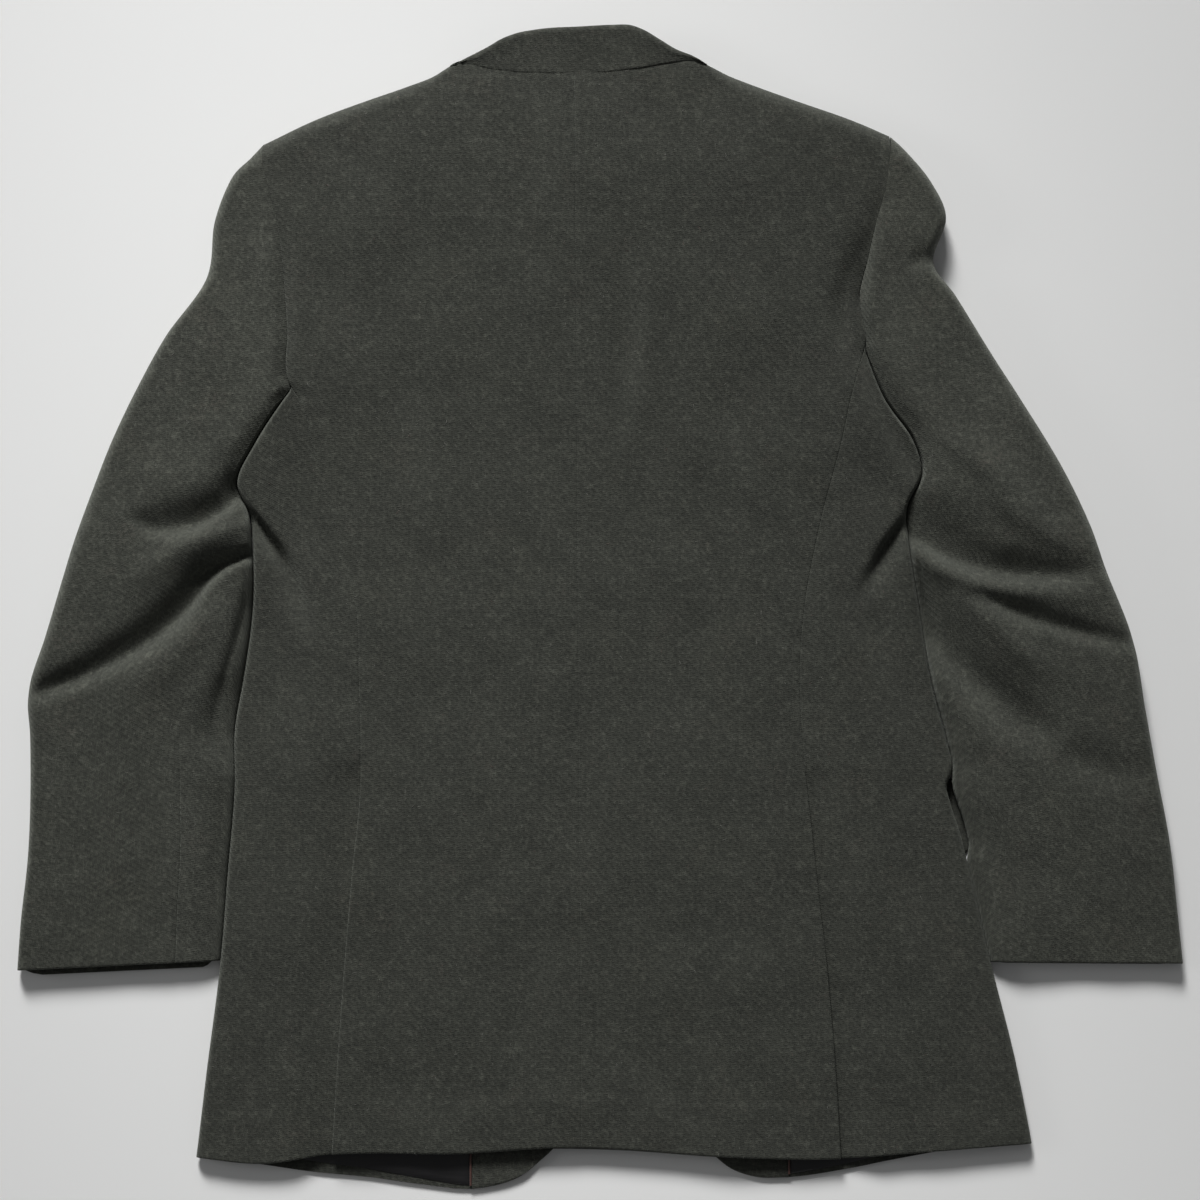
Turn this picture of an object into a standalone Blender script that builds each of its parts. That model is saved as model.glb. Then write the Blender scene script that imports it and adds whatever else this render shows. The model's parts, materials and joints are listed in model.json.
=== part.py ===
# Tweed sport coat laid flat, face down. Sizes are in millimetres, and each mesh is made in metres.
# +X is the coat's right side as seen from behind, +Y runs towards the collar, +Z is up off the surface.
import bpy
import numpy as np

MM = 0.001
WALL = 2.2  # tweed with its backing
LAPEL_WALL = 2.0
FACING_WALL = 1.5
LINING_WALL = 1.0
SEAM = 0.3  # gap between two sewn pieces
CLEAR = 0.6  # gap between two stacked layers
ARMHOLE_THICK = 26.0  # height of the coat along the armholes
SLEEVE_BACK_ROWS = 7  # sleeve stations that lie on the armhole, shoulder to underarm
CENTRE_NECK_X = -18.0  # centre back seam at the collar
CENTRE_HEM_X = -13.0
TURN_STEPS = 6  # faces round a folded edge
TURN_REACH = 0.45  # depth of the body's folded edge, as a share of its height

VENT_START = -108.0  # the side panel begins to sink here, to lie under the back from VENT_TOP down
VENT_TOP = -127.0
VENT_UNDERLAP = 24.0
VENT_DROP = WALL + CLEAR
VENT_LEVEL = 3.0  # the underlap lies level this far past the seam, then climbs over VENT_RAMP
VENT_RAMP = 30.0
FRONT_EDGE_LAP = WALL + 1.8
FRONT_LAP_X = 52.0  # the right front lies on the left one as far out as this
FRONT_LAP_MIDDLE = -75.0  # height of the middle of the lap
FRONT_LAP_HALF = 190.0
BUTTON_RADIUS = 11.5
BUTTON_THICK = 4.0
BUTTON_DISH = 0.8
BUTTON_SIDES = 20
BUTTON_PROFILE = (  # share of the radius and height of each ring, from the dish out and up
    (0.62, BUTTON_DISH),
    (0.74, 0.0),
    (0.90, 0.0),
    (1.0, 1.0),
    (1.0, 3.0),
    (0.86, BUTTON_THICK),
)
BUTTONS = {"button_upper": (11.0, 32.0), "button_lower": (14.0, -66.0)}

FRONT_COLUMNS = 7
FACING_COLUMNS = 2
NECK_COLUMNS = 5
HEM_ROWS = 3  # rows of a front that the facing and the lining cover

TWEED = (0.042, 0.042, 0.037)
TWEED_DARK = (0.033, 0.033, 0.029)
LINING = (0.010, 0.011, 0.016)
HORN = (0.022, 0.015, 0.011)


def table(columns, *rows):
    """Named columns of a table that is written row by row."""
    return {name: np.array(column, float) for name, column in zip(columns.split(), zip(*rows))}


# Half of the body: the side-back seam and the folded edge at each height, hem to underarm.
SIDES = {
    "left": table(
        "y seam edge",
        (-394, -193, -291),
        (-330, -189, -283),
        (-260, -184, -274),
        (-190, -178, -268),
        (-127, -172, -263),
        (-88, -172, -263),
        (-52, -173, -257),
        (0, -175, -250),
        (45, -186, -250),
        (68, -192, -252.5),
        (90, -198, -261),
        (118, -206, -248.5),
        (150, -215, -227.5),
    ),
    "right": table(
        "y seam edge",
        (-394, 174, 312),
        (-330, 170, 301),
        (-260, 164, 283.5),
        (-190, 156, 267),
        (-160, 153, 259.5),
        (-140, 150.5, 253),
        (-127, 149, 250.5),
        (-118, 148, 254),
        (-94, 146, 250),
        (-58, 144, 240.5),
        (0, 147, 230.5),
        (50, 156, 223),
        (72, 161, 221.5),
        (98, 168, 232.5),
        (121, 174, 226),
        (150, 180, 206),
        (176, 187, 195),
    ),
}

# A sleeve: its inner and outer ends at each station, shoulder to cuff, its height, and where its seam runs.
SLEEVES = {
    "left": table(
        "in_x in_y out_x out_y thick seam under",
        (-242, 320, -242, 332, 26, 0, 0),
        (-240, 312, -252, 323, 26, 0, 0),
        (-237, 300, -265, 309, 26, 0, 0),
        (-231, 274, -277, 278, 26, 0, 0),
        (-227, 240, -283, 237, 26, 0, 0),
        (-224, 201, -312, 196, 26, 0, 0),
        (-221, 159, -334, 156, 26, 0, 0),
        (-245, 130, -351, 120, 27, 0.10, 0.08),
        (-262.5, 84, -365, 84, 29, 0.16, 0.16),
        (-252.5, 53, -377, 51, 30, 0.19, 0.24),
        (-251.5, 24, -386, 22, 29, 0.20, 0.30),
        (-254.5, -19, -399, -21, 27, 0.22, 0.34),
        (-259.5, -55, -411, -59, 25, 0.25, 0.35),
        (-264.5, -89, -410, -93, 23, 0.26, 0.35),
        (-265, -131, -410, -136, 20, 0.26, 0.35),
        (-268.5, -174, -412, -179, 18, 0.24, 0.35),
        (-272, -217, -417, -223, 15, 0.23, 0.35),
        (-275, -254, -420, -261, 12, 0.22, 0.35),
    ),
    "right": table(
        "in_x in_y out_x out_y thick seam under",
        (211, 322, 211, 334, 26, 0, 0),
        (210, 315, 225, 323, 26, 0, 0),
        (207, 301, 239, 306, 26, 0, 0),
        (202, 276, 249, 281, 26, 0, 0),
        (197, 249, 240, 249, 26, 0, 0),
        (193, 226, 257, 224, 26, 0, 0),
        (191, 186, 281, 185, 26, 0, 0),
        (210.5, 150, 304, 149, 27, 0.10, 0.08),
        (234, 101, 332, 103, 30, 0.16, 0.16),
        (224, 60, 352, 62, 31, 0.17, 0.24),
        (229, 22, 365, 26, 30, 0.16, 0.30),
        (236.5, -23, 384, -23, 28, 0.13, 0.34),
        (246, -73, 393, -73, 25, 0.12, 0.35),
        (256, -121, 402, -121, 21, 0.115, 0.35),
        (265.5, -170, 411, -168, 18, 0.17, 0.35),
        (274, -213, 416, -211, 15, 0.20, 0.35),
        (284, -255, 421, -256, 12, 0.235, 0.35),
    ),
}

CUFF_STEP = {"left": 4.5, "right": 1.0}  # how far the lower side of a cuff shows past its upper side

# Height of the coat off the surface, at its folded edges and in its middle.
HEIGHTS = table(
    "y edge middle",
    (-420, 10, 10.5),
    (-300, 12, 12.5),
    (-150, 14, 16),
    (0, 16, 19),
    (90, 20, 21),
    (150, ARMHOLE_THICK, 23),
    (250, ARMHOLE_THICK, 27),
    (340, ARMHOLE_THICK, 29),
    (400, ARMHOLE_THICK, 25),
)
EDGE_WIDTH = 80.0  # the height changes over this far in from an edge

# Top of the body: shoulders and the neck edge that the collar hides. round is how far its rounding reaches,
# and rim the height of the seam as a share of the coat's.
TOP = table(
    "x y round rim",
    (-242, 332, 12, 0.50),
    (-203, 352, 12, 0.50),
    (-165, 366, 12, 0.50),
    (-139, 375, 11, 0.50),
    (-118, 382.5, 9, 0.55),
    (-100, 388, 5, 0.80),
    (-80, 391, 3, 0.93),
    (-18, 394, 3, 0.93),
    (50, 393, 3, 0.93),
    (70, 389.5, 5, 0.80),
    (90, 383.5, 9, 0.55),
    (110, 376.5, 11, 0.50),
    (139, 366, 12, 0.50),
    (180, 351, 12, 0.50),
    (211, 334, 12, 0.50),
)

# Lower edges: back and side panels, then the fronts, which are longer.
HEM = table(
    "x y",
    (-291, -396),
    (-245, -400.5),
    (-194, -394),
    (-98, -393),
    (-32, -389),
    (12, -390),
    (82, -395),
    (173, -397),
    (224, -393),
    (312, -386),
)
FRONT_HEM = {
    "left": table(
        "x y", (-291, -396), (-249, -401), (-207, -407), (-165, -411), (-129, -416), (-88, -419), (-55, -409)
    ),
    "right": table(
        "x y", (94, -404), (112, -410.5), (133, -411), (178, -405), (213, -398), (260, -390), (312, -386)
    ),
}
PIPING_X = {"left": -93.0, "right": 137.0}  # where facing meets lining at the hem

# Free edge of each front: cutaway, buttoned edge, then the roll line up to the neck.
FRONT_EDGE = {
    "left": table(
        "y x",
        (-409, -55),
        (-400, -44),
        (-388, -31),
        (-340, -8),
        (-260, 13),
        (-160, 27),
        (-100, 31),
        (-60, 32),
        (58, 29),
        (386, -108),
    ),
    "right": table(
        "y x",
        (-404, 94),
        (-396, 84),
        (-384, 74),
        (-340, 50),
        (-260, 22),
        (-160, 2),
        (-100, -4),
        (-60, -5),
        (58, -7),
        (386, 80),
    ),
}
SIDE_FRONT_OFFSET = 60.0  # side-front seam, in from the folded edge

# Lapel and collar end, on the roll line: along runs from the break to the neck, out away from the opening.
LAPEL = {
    "left": table(
        "along out",
        (0.02, 1),
        (0.15, 27),
        (0.3, 50),
        (0.48, 72),
        (0.655, 90),
        (0.685, 62),
        (0.71, 40),
        (0.8, 1),
    ),
    "right": table(
        "along out", (0.22, 1), (0.26, 42), (0.48, 72), (0.655, 90), (0.685, 62), (0.71, 40), (0.8, 1)
    ),
}
COLLAR_END = table(
    "along out", (0.805, 1), (0.716, 40), (0.692, 62), (0.735, 82), (0.84, 76), (0.95, 60), (0.985, 1)
)

FLAPS = {
    "flap_left": table(
        "x y", (-254, -126), (-113, -126), (-114, -172), (-120, -178), (-254, -177), (-260, -171)
    ),
    "flap_right": table(
        "x y", (110, -126), (257, -123), (267, -170), (264, -177), (116, -180), (109, -173)
    ),
}

# Where the fronts rise over what lies under them: the middle and half sizes of each box, and the rise.
LIFTS = table(
    "x y half_x half_y rise",
    (-15, 238, 132, 190, LAPEL_WALL + CLEAR),
    (-186, -152, 74, 26, LAPEL_WALL + CLEAR),
    (190, -152, 81, 28, LAPEL_WALL + CLEAR),
    (11, 32, BUTTON_RADIUS, BUTTON_RADIUS, BUTTON_THICK + CLEAR),
    (14, -66, BUTTON_RADIUS, BUTTON_RADIUS, BUTTON_THICK + CLEAR),
)
LIFT_MARGIN = 18.0
LIFT_RAMP = 34.0

# Folds of the cloth, each along a curve through a middle point, with its width at both ends.
# depth below nought is a trough.
BODY_FOLDS = table(
    "x0 y0 x1 y1 x2 y2 start_width end_width depth",
    (-246, 68, -230, 43, -221, 4, 7, 9, -6),
    (-254, 60, -249, 30, -246, 2, 6, 7, 2),
    (219, 67, 208, 47, 190, 12, 7, 9, -6),
    (228, 56, 226, 34, 228, 8, 6, 7, 2),
    (13, 300, 18, 210, 12, 126, 12, 12, -4),
    (32, 250, 34, 200, 32, 150, 12, 12, 2),
    (98, 300, 101, 250, 104, 190, 12, 12, -2),
    (180, 280, 178, 210, 174, 150, 12, 12, -3),
    (-143, 182, -138, 160, -131, 128, 12, 12, -2),
)
SLEEVE_FOLDS = table(
    "x0 y0 x1 y1 x2 y2 start_width end_width depth",
    (-262, 89, -280, 69, -320, 65, 11, 8, -13),
    (-251, 45, -322, -6, -407, -55, 12, 11, -16),
    (-253, 12, -262, -62, -268, -125, 8, 10, -13),
    (-270, 52, -305, 34, -350, 8, 13, 13, 4),
    (-268, 0, -312, -34, -385, -80, 15, 18, 4),
    (-258, 118, -290, 108, -330, 84, 16, 16, 4),
    (234, 92, 272, 44, 352, 26, 22, 9, -17),
    (274, 13, 325, -8, 386, -23, 9, 9, -9),
    (226, 50, 254, -4, 330, -68, 11, 14, -16),
    (318, -62, 352, -100, 400, -121, 14, 12, -6),
    (238, 34, 290, 16, 372, 4, 10, 12, 5),
    (262, 0, 300, -26, 384, -60, 11, 14, 5),
    (275, 84, 310, 62, 346, 52, 16, 16, 4),
)

COLLAR_LINES = table(
    "x leaf fold",
    (-99, 386.5, 394),
    (-85, 386.5, 401),
    (-69, 385, 409),
    (-57, 383.5, 413.5),
    (-28, 382.5, 416.5),
    (0, 383, 418.5),
    (22, 385, 418.5),
    (36, 387, 412.5),
    (50, 389, 403.5),
    (62, 390, 397.5),
)
COLLAR_WALL = 2.0
COLLAR_PUFF = 0.8
COLLAR_CLEAR = 1.2
COLLAR_REACH = 4.0  # depth of the rounding at its fold
COLLAR_COLUMNS = 12


def smooth(share):
    """0 to 1 with level ends."""
    share = np.clip(share, 0, 1)
    return share * share * (3 - 2 * share)


def curve(at, knots, values):
    """Cubic through the knots, with each slope taken from its neighbours."""
    knots, values = (knots, values) if knots[0] < knots[-1] else (knots[::-1], values[::-1])
    slopes = np.gradient(values, knots)
    at = np.clip(at, knots[0], knots[-1])
    k = np.clip(np.searchsorted(knots, at) - 1, 0, len(knots) - 2)
    span = knots[k + 1] - knots[k]
    t = (at - knots[k]) / span
    start = (1 + 2 * t) * (1 - t) ** 2 * values[k] + t * (1 - t) ** 2 * span * slopes[k]
    end = t * t * (3 - 2 * t) * values[k + 1] - t * t * (1 - t) * span * slopes[k + 1]
    return start + end


def along(points, shares):
    """Points at these shares of a line's length."""
    points = np.asarray(points, float)
    run = np.concatenate([[0], np.cumsum(np.linalg.norm(np.diff(points, axis=0), axis=1))])
    return np.stack([np.interp(shares, run / run[-1], points[:, i]) for i in range(points.shape[1])], -1)


def coons(left, right, bottom, top):
    """Flat patch between four edges that share their corners; rows run up, columns run across."""
    v = np.concatenate([[0], np.cumsum(np.linalg.norm(np.diff(left, axis=0), axis=1))])
    v = (v / v[-1])[:, None, None]
    u = np.linspace(0, 1, len(bottom))[None, :, None]
    across = (1 - u) * left[:, None] + u * right[:, None]
    upward = (1 - v) * bottom[None] + v * top[None]
    corners = (1 - v) * ((1 - u) * bottom[0] + u * bottom[-1]) + v * ((1 - u) * top[0] + u * top[-1])
    return across + upward - corners


def fold_rise(folds, x, y):
    """Sum of the folds: each a soft ridge or trough round its curve, fading towards its far end."""
    total = np.zeros(np.broadcast(x, y).shape)
    step = np.linspace(0, 1, 25)
    for x0, y0, x1, y1, x2, y2, start_width, end_width, depth in zip(*folds.values()):
        bend_x, bend_y = 2 * x1 - (x0 + x2) / 2, 2 * y1 - (y0 + y2) / 2
        path_x = (1 - step) ** 2 * x0 + 2 * step * (1 - step) * bend_x + step**2 * x2
        path_y = (1 - step) ** 2 * y0 + 2 * step * (1 - step) * bend_y + step**2 * y2
        fade = (1 - step**4) * np.minimum(1, 0.6 + 2 * step)
        widths = start_width + (end_width - start_width) * step
        near = np.zeros_like(total)
        for px, py, f, width in zip(path_x, path_y, fade, widths):
            near = np.maximum(near, f * np.exp(-((x - px) ** 2 + (y - py) ** 2) / width**2))
        total += depth * near
    return total


def body_edge(side, y):
    """X of the folded edge below the underarm, and of the armhole above it."""
    rows, sleeve = SIDES[side], SLEEVES[side]
    armhole = slice(SLEEVE_BACK_ROWS - 1, None, -1)
    knots = np.concatenate([rows["y"], sleeve["in_y"][armhole]])
    values = np.concatenate([rows["edge"], sleeve["in_x"][armhole]])
    return np.interp(y, knots, values)


def body_height(x, y):
    """Top of the back and side panels."""
    inside = np.minimum(x - body_edge("left", y), body_edge("right", y) - x)
    share = smooth(inside / EDGE_WIDTH)
    edge, middle = curve(y, HEIGHTS["y"], HEIGHTS["edge"]), curve(y, HEIGHTS["y"], HEIGHTS["middle"])
    return edge + (middle - edge) * share + fold_rise(BODY_FOLDS, x, y)


def lift(x, y):
    """How far the cloth underneath rises over lapels, flaps and buttons."""
    total = np.zeros(np.broadcast(x, y).shape)
    for cx, cy, half_x, half_y, rise in zip(*LIFTS.values()):
        out = np.hypot(np.maximum(abs(x - cx) - half_x, 0), np.maximum(abs(y - cy) - half_y, 0))
        total = np.maximum(total, rise * (1 - smooth((out - LIFT_MARGIN) / LIFT_RAMP)))
    return total


def front_base(side, x, y):
    """Outer face of a front, which the right one carries over the left one."""
    lap = FRONT_EDGE_LAP if side == "right" else 0.0
    beside = 1 - smooth((x - FRONT_LAP_X) / LIFT_RAMP)
    level = 1 - smooth((abs(y - FRONT_LAP_MIDDLE) - FRONT_LAP_HALF) / LIFT_RAMP)
    return lift(x, y) + lap * beside * level


def material(name, colour, roughness):
    made = bpy.data.materials.new(name)
    made.use_nodes = True
    shader = made.node_tree.nodes["Principled BSDF"]
    shader.inputs["Base Color"].default_value = (*colour, 1)
    shader.inputs["Roughness"].default_value = roughness
    shader.inputs["Metallic"].default_value = 0.0
    return made


def add_mesh(name, points, faces, colour, roughness=0.9):
    """Puts a closed mesh in the scene, turned so that its faces point out."""
    points = np.asarray(points, float) * MM
    corners = points[[face[:3] for face in faces]]
    if np.einsum("ij,ij->", corners[:, 0], np.cross(corners[:, 1], corners[:, 2])) < 0:
        faces = [face[::-1] for face in faces]
    mesh = bpy.data.meshes.new(name)
    mesh.from_pydata(points.tolist(), [], faces)
    mesh.shade_smooth()
    mesh.set_sharp_from_angle(angle=np.radians(50))
    mesh.materials.append(material(name, colour, roughness))
    bpy.context.scene.collection.objects.link(bpy.data.objects.new(name, mesh))


def add_sheet(name, outer, inner, colour, roughness=0.9):
    """A wall of cloth between an outer and an inner grid of points."""
    rows, columns = outer.shape[:2]
    index = np.arange(rows * columns).reshape(rows, columns)
    a, b, c, d = index[:-1, :-1], index[:-1, 1:], index[1:, 1:], index[1:, :-1]
    skin = np.stack([a, b, c, d], -1).reshape(-1, 4)
    rim = np.concatenate([index[0, :-1], index[:-1, -1], index[-1, :0:-1], index[:0:-1, 0]])
    after = np.roll(rim, -1)
    inside = rows * columns
    sides = np.stack([after, rim, rim + inside, after + inside], -1)
    faces = np.concatenate([skin, skin[:, ::-1] + inside, sides])
    triangles = np.concatenate([faces[:, [0, 1, 2]], faces[:, [0, 2, 3]]])
    points = np.concatenate([outer.reshape(-1, 3), inner.reshape(-1, 3)])
    add_mesh(name, points, triangles.tolist(), colour, roughness)


def add_plate(name, outline, low, high, colour, roughness=0.9):
    """A flat piece with a straight edge all round."""
    count = len(outline)
    points = [(x, y, low) for x, y in outline] + [(x, y, high) for x, y in outline]
    faces = [list(range(count)), list(range(2 * count - 1, count - 1, -1))]
    faces += [[i, i + count, (i + 1) % count + count, (i + 1) % count] for i in range(count)]
    add_mesh(name, points, faces, colour, roughness)


def side_rows(side):
    """Heights of the rows that a side panel shares with its back and front, hem to just under the arm."""
    top = SIDES[side]["y"][-1]
    below_vent = [-394, -384, -350, -310, -270, -230, -190, -150, VENT_TOP, VENT_START]
    return np.concatenate([below_vent, np.linspace(-76, top, 9)])


def seam_points(side, gap):
    """Side-back seam and armhole from the hem to the shoulder, moved by gap towards the middle."""
    y = side_rows(side)
    sleeve = SLEEVES[side]
    armhole = slice(SLEEVE_BACK_ROWS - 1, None, -1)
    x = np.concatenate([curve(y, SIDES[side]["y"], SIDES[side]["seam"]), sleeve["in_x"][armhole]])
    points = np.stack([x, np.concatenate([y, sleeve["in_y"][armhole]])], -1)
    points[0, 1] = np.interp(points[0, 0], HEM["x"], HEM["y"])
    points[:, 0] += gap if side == "left" else -gap
    return points


def top_columns(side):
    """X of the columns at the shoulder, armhole to neck corner."""
    return np.linspace(SLEEVES[side]["in_x"][0], FRONT_EDGE[side]["x"][-1], FRONT_COLUMNS + 1)


def rounded_top(grid, heights, base, steps, share_end):
    """Rows that carry a panel from its last row up over the rounded top to its seam."""
    x, y = grid[-1, :, 0], grid[-1, :, 1]
    reach = np.interp(x, TOP["x"], TOP["round"])
    rim = np.interp(x, TOP["x"], TOP["rim"]) * body_height(x, y) + share_end
    start = heights[-1]
    outer, inner = [], []
    for turn in np.radians(90) * np.arange(1, steps + 1) / steps:
        outer.append(np.stack([x, y + reach * np.sin(turn), rim + (start - rim) * np.cos(turn)], -1))
        shrink = 1 - WALL / reach
        depth = (start + base * WALL - rim) * np.cos(turn)
        inner.append(np.stack([x, y + reach * shrink * np.sin(turn), rim + depth], -1))
    return np.array(outer), np.array(inner)


def panel(grid, heights, inward, end_shift, steps=4):
    """Outer and inner points of a back or a front, with its rounded top."""
    outer = np.concatenate([grid, heights[..., None]], -1)
    inner = outer.copy()
    inner[..., 2] += inward * WALL
    over, under = rounded_top(grid, heights, inward, steps, end_shift)
    return np.concatenate([outer, over]), np.concatenate([inner, under])


def make_back(side):
    sign = 1 if side == "left" else -1
    left = seam_points(side, SEAM / 2)
    centre_hem = (CENTRE_HEM_X - sign * SEAM / 2, np.interp(CENTRE_HEM_X, HEM["x"], HEM["y"]))
    neck_y = np.interp(CENTRE_NECK_X, TOP["x"], TOP["y"] - TOP["round"])
    centre_neck = (CENTRE_NECK_X - sign * SEAM / 2, neck_y)
    run = np.concatenate([[0], np.cumsum(np.linalg.norm(np.diff(left, axis=0), axis=1))])
    right = along([centre_hem, centre_neck], run / run[-1])
    shoulder_x = top_columns(side)
    neck_x = np.linspace(shoulder_x[-1], centre_neck[0], NECK_COLUMNS + 1)[1:]
    top_x = np.concatenate([shoulder_x, neck_x])
    top_x[0] = left[-1, 0]
    top = np.stack([top_x, np.interp(top_x, TOP["x"], TOP["y"] - TOP["round"])], -1)
    left[-1] = top[0]
    hem_x = np.linspace(left[0, 0], right[0, 0], len(top_x))
    bottom = np.stack([hem_x, np.interp(hem_x, HEM["x"], HEM["y"])], -1)
    grid = coons(left, right, bottom, top)
    heights = body_height(grid[..., 0], grid[..., 1])
    outer, inner = panel(grid, heights, -1, SEAM / 2)
    add_sheet(f"back_{side}", outer, inner, TWEED)


def wrap(top_points, top_heights, edge, edge_height, reach, low, bottom_points, bottom_heights, steps):
    """One row round a folded edge: the top stretch, half a turn and the bottom stretch, outer and inner."""
    direction = edge - top_points[-1]
    direction = direction / max(np.linalg.norm(direction), 1e-9)
    centre = edge - direction * reach
    middle = (edge_height + low) / 2
    half = (edge_height - low) / 2
    turn = np.radians(180) * np.arange(1, steps) / steps
    outer, inner = [], []
    for points, heights, inward in ((top_points, top_heights, -WALL), (bottom_points, bottom_heights, WALL)):
        outer.append(np.column_stack([points, heights]))
        inner.append(np.column_stack([points, heights + inward]))
    arc = []
    for wall in (0, WALL):
        plan = centre + np.outer(np.sin(turn), direction) * (reach - wall)
        arc.append(np.column_stack([plan, middle + (half - wall) * np.cos(turn)]))
    return np.concatenate([outer[0], arc[0], outer[1]]), np.concatenate([inner[0], arc[1], inner[1]])


def make_side(side):
    sign = 1 if side == "left" else -1
    seams = seam_points(side, -SEAM / 2)
    outer_rows, inner_rows = [], []
    for row, y in enumerate(side_rows(side)):
        seam = seams[row]
        edge = np.array([body_edge(side, y), y])
        if row == 0:
            edge[1] = np.interp(edge[0], HEM["x"], HEM["y"])
        edge_height = float(body_height(edge[0] + sign * 8, edge[1]))
        width = abs(seam[0] - edge[0])
        reach = min(TURN_REACH * edge_height, 0.6 * width)
        vent = smooth((VENT_START - y) / (VENT_START - VENT_TOP))
        under = VENT_UNDERLAP * smooth((VENT_TOP - y) / 23)
        start = seam + np.array([sign * under, 0])
        beside = seam - np.array([sign * 2.0, 0])
        last = edge + np.array([sign * reach, 0])
        spread = beside + np.linspace(0, 1, 6)[:, None] * (last - beside)
        top = np.concatenate([[start], spread])
        if row == 0:
            top[:, 1] = np.interp(top[:, 0], HEM["x"], HEM["y"])
        heights = body_height(top[:, 0], top[:, 1])
        beyond = sign * (seam[0] - top[:, 0])
        heights = heights - VENT_DROP * vent * (1 - smooth((beyond - VENT_LEVEL) / VENT_RAMP))
        low_x = front_seam(side, y) - sign * SEAM / 2
        bottom = np.linspace(last, (low_x, edge[1]), 4)
        if row == 0:
            bottom[:, 1] = np.interp(bottom[:, 0], FRONT_HEM[side]["x"], FRONT_HEM[side]["y"])
        low = lift(bottom[:, 0], bottom[:, 1])
        parts = wrap(top, heights, edge, heights[-1], reach, low[0], bottom, low, TURN_STEPS)
        outer_rows.append(parts[0])
        inner_rows.append(parts[1])
    add_sheet(f"side_{side}", np.array(outer_rows), np.array(inner_rows), TWEED)


def front_seam(side, y):
    """X of the side-front seam, which meets the fold under the arm."""
    sign = 1 if side == "left" else -1
    top = SIDES[side]["y"][-1]
    return body_edge(side, y) + sign * np.minimum(SIDE_FRONT_OFFSET, 13 + 0.6 * (top - y))


def front_grid(side):
    """Plan of a front: side seam and armhole on one edge, cutaway, front edge and roll line on the other."""
    sign = 1 if side == "left" else -1
    y = side_rows(side)
    left = seam_points(side, SEAM / 2)
    left[: len(y), 0] = front_seam(side, y) + sign * SEAM / 2
    left[0, 1] = np.interp(left[0, 0], FRONT_HEM[side]["x"], FRONT_HEM[side]["y"])
    run = np.concatenate([[0], np.cumsum(np.linalg.norm(np.diff(left, axis=0), axis=1))])
    free = np.stack([FRONT_EDGE[side]["x"], FRONT_EDGE[side]["y"]], -1)
    top_x = top_columns(side)
    top_x[0] = left[-1, 0]
    top = np.stack([top_x, np.interp(top_x, TOP["x"], TOP["y"] - TOP["round"])], -1)
    left[-1] = top[0]
    free[-1] = top[-1]
    right = along(free, run / run[-1])
    body = FRONT_COLUMNS - FACING_COLUMNS
    hem_x = np.linspace(left[0, 0], PIPING_X[side], body + 1)
    hem_x = np.append(hem_x, np.linspace(PIPING_X[side], free[0, 0], FACING_COLUMNS + 1)[1:])
    bottom = np.stack([hem_x, np.interp(hem_x, FRONT_HEM[side]["x"], FRONT_HEM[side]["y"])], -1)
    bottom[-1] = right[0]
    return coons(left, right, bottom, top)


def make_front(side):
    grid = front_grid(side)
    heights = front_base(side, grid[..., 0], grid[..., 1])
    outer, inner = panel(grid, heights, 1, -SEAM / 2)
    add_sheet(f"front_{side}", outer, inner, TWEED)
    split = FRONT_COLUMNS - FACING_COLUMNS
    shift = (SEAM / 2 if side == "left" else -SEAM / 2, 0)
    pieces = (
        (f"facing_{side}", grid[: HEM_ROWS + 1, split:] + shift, FACING_WALL, TWEED),
        (f"lining_{side}", grid[1 : HEM_ROWS + 1, 1 : split + 1] - shift, LINING_WALL, LINING),
    )
    for name, plan, wall, colour in pieces:
        base = front_base(side, plan[..., 0], plan[..., 1]) + WALL + SEAM
        lower = np.concatenate([plan, base[..., None]], -1)
        add_sheet(name, lower, lower + (0, 0, wall), colour)


def sleeve_rows(side, start):
    """Station numbers from start to the cuff: one each round the armhole and two each below it."""
    last = len(SLEEVES[side]["thick"]) - 1
    whole = np.arange(0, SLEEVE_BACK_ROWS)
    halves = np.arange(2 * SLEEVE_BACK_ROWS - 1, 2 * last + 1) / 2
    rows = np.concatenate([whole, halves])
    return rows[rows >= start]


def sleeve_station(side, at):
    """Inner point, outer point, height, upper seam's share and lower seam's share of a sleeve there."""
    rows = SLEEVES[side]
    knots = np.arange(len(rows["thick"]), dtype=float)
    if at < SLEEVE_BACK_ROWS - 0.5:
        found = {name: float(np.interp(at, knots, rows[name])) for name in rows}
    else:
        found = {name: float(curve(at, knots, rows[name])) for name in rows}
    inner = np.array([found["in_x"], found["in_y"]])
    outer = np.array([found["out_x"], found["out_y"]])
    return inner, outer, found["thick"], max(found["seam"], 0), max(found["under"], 0)


def sleeve_height(points, thick):
    """Top of a sleeve, which never dips so far that its two layers meet."""
    return np.maximum(thick + fold_rise(SLEEVE_FOLDS, points[:, 0], points[:, 1]), 2 * WALL + 3)


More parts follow.
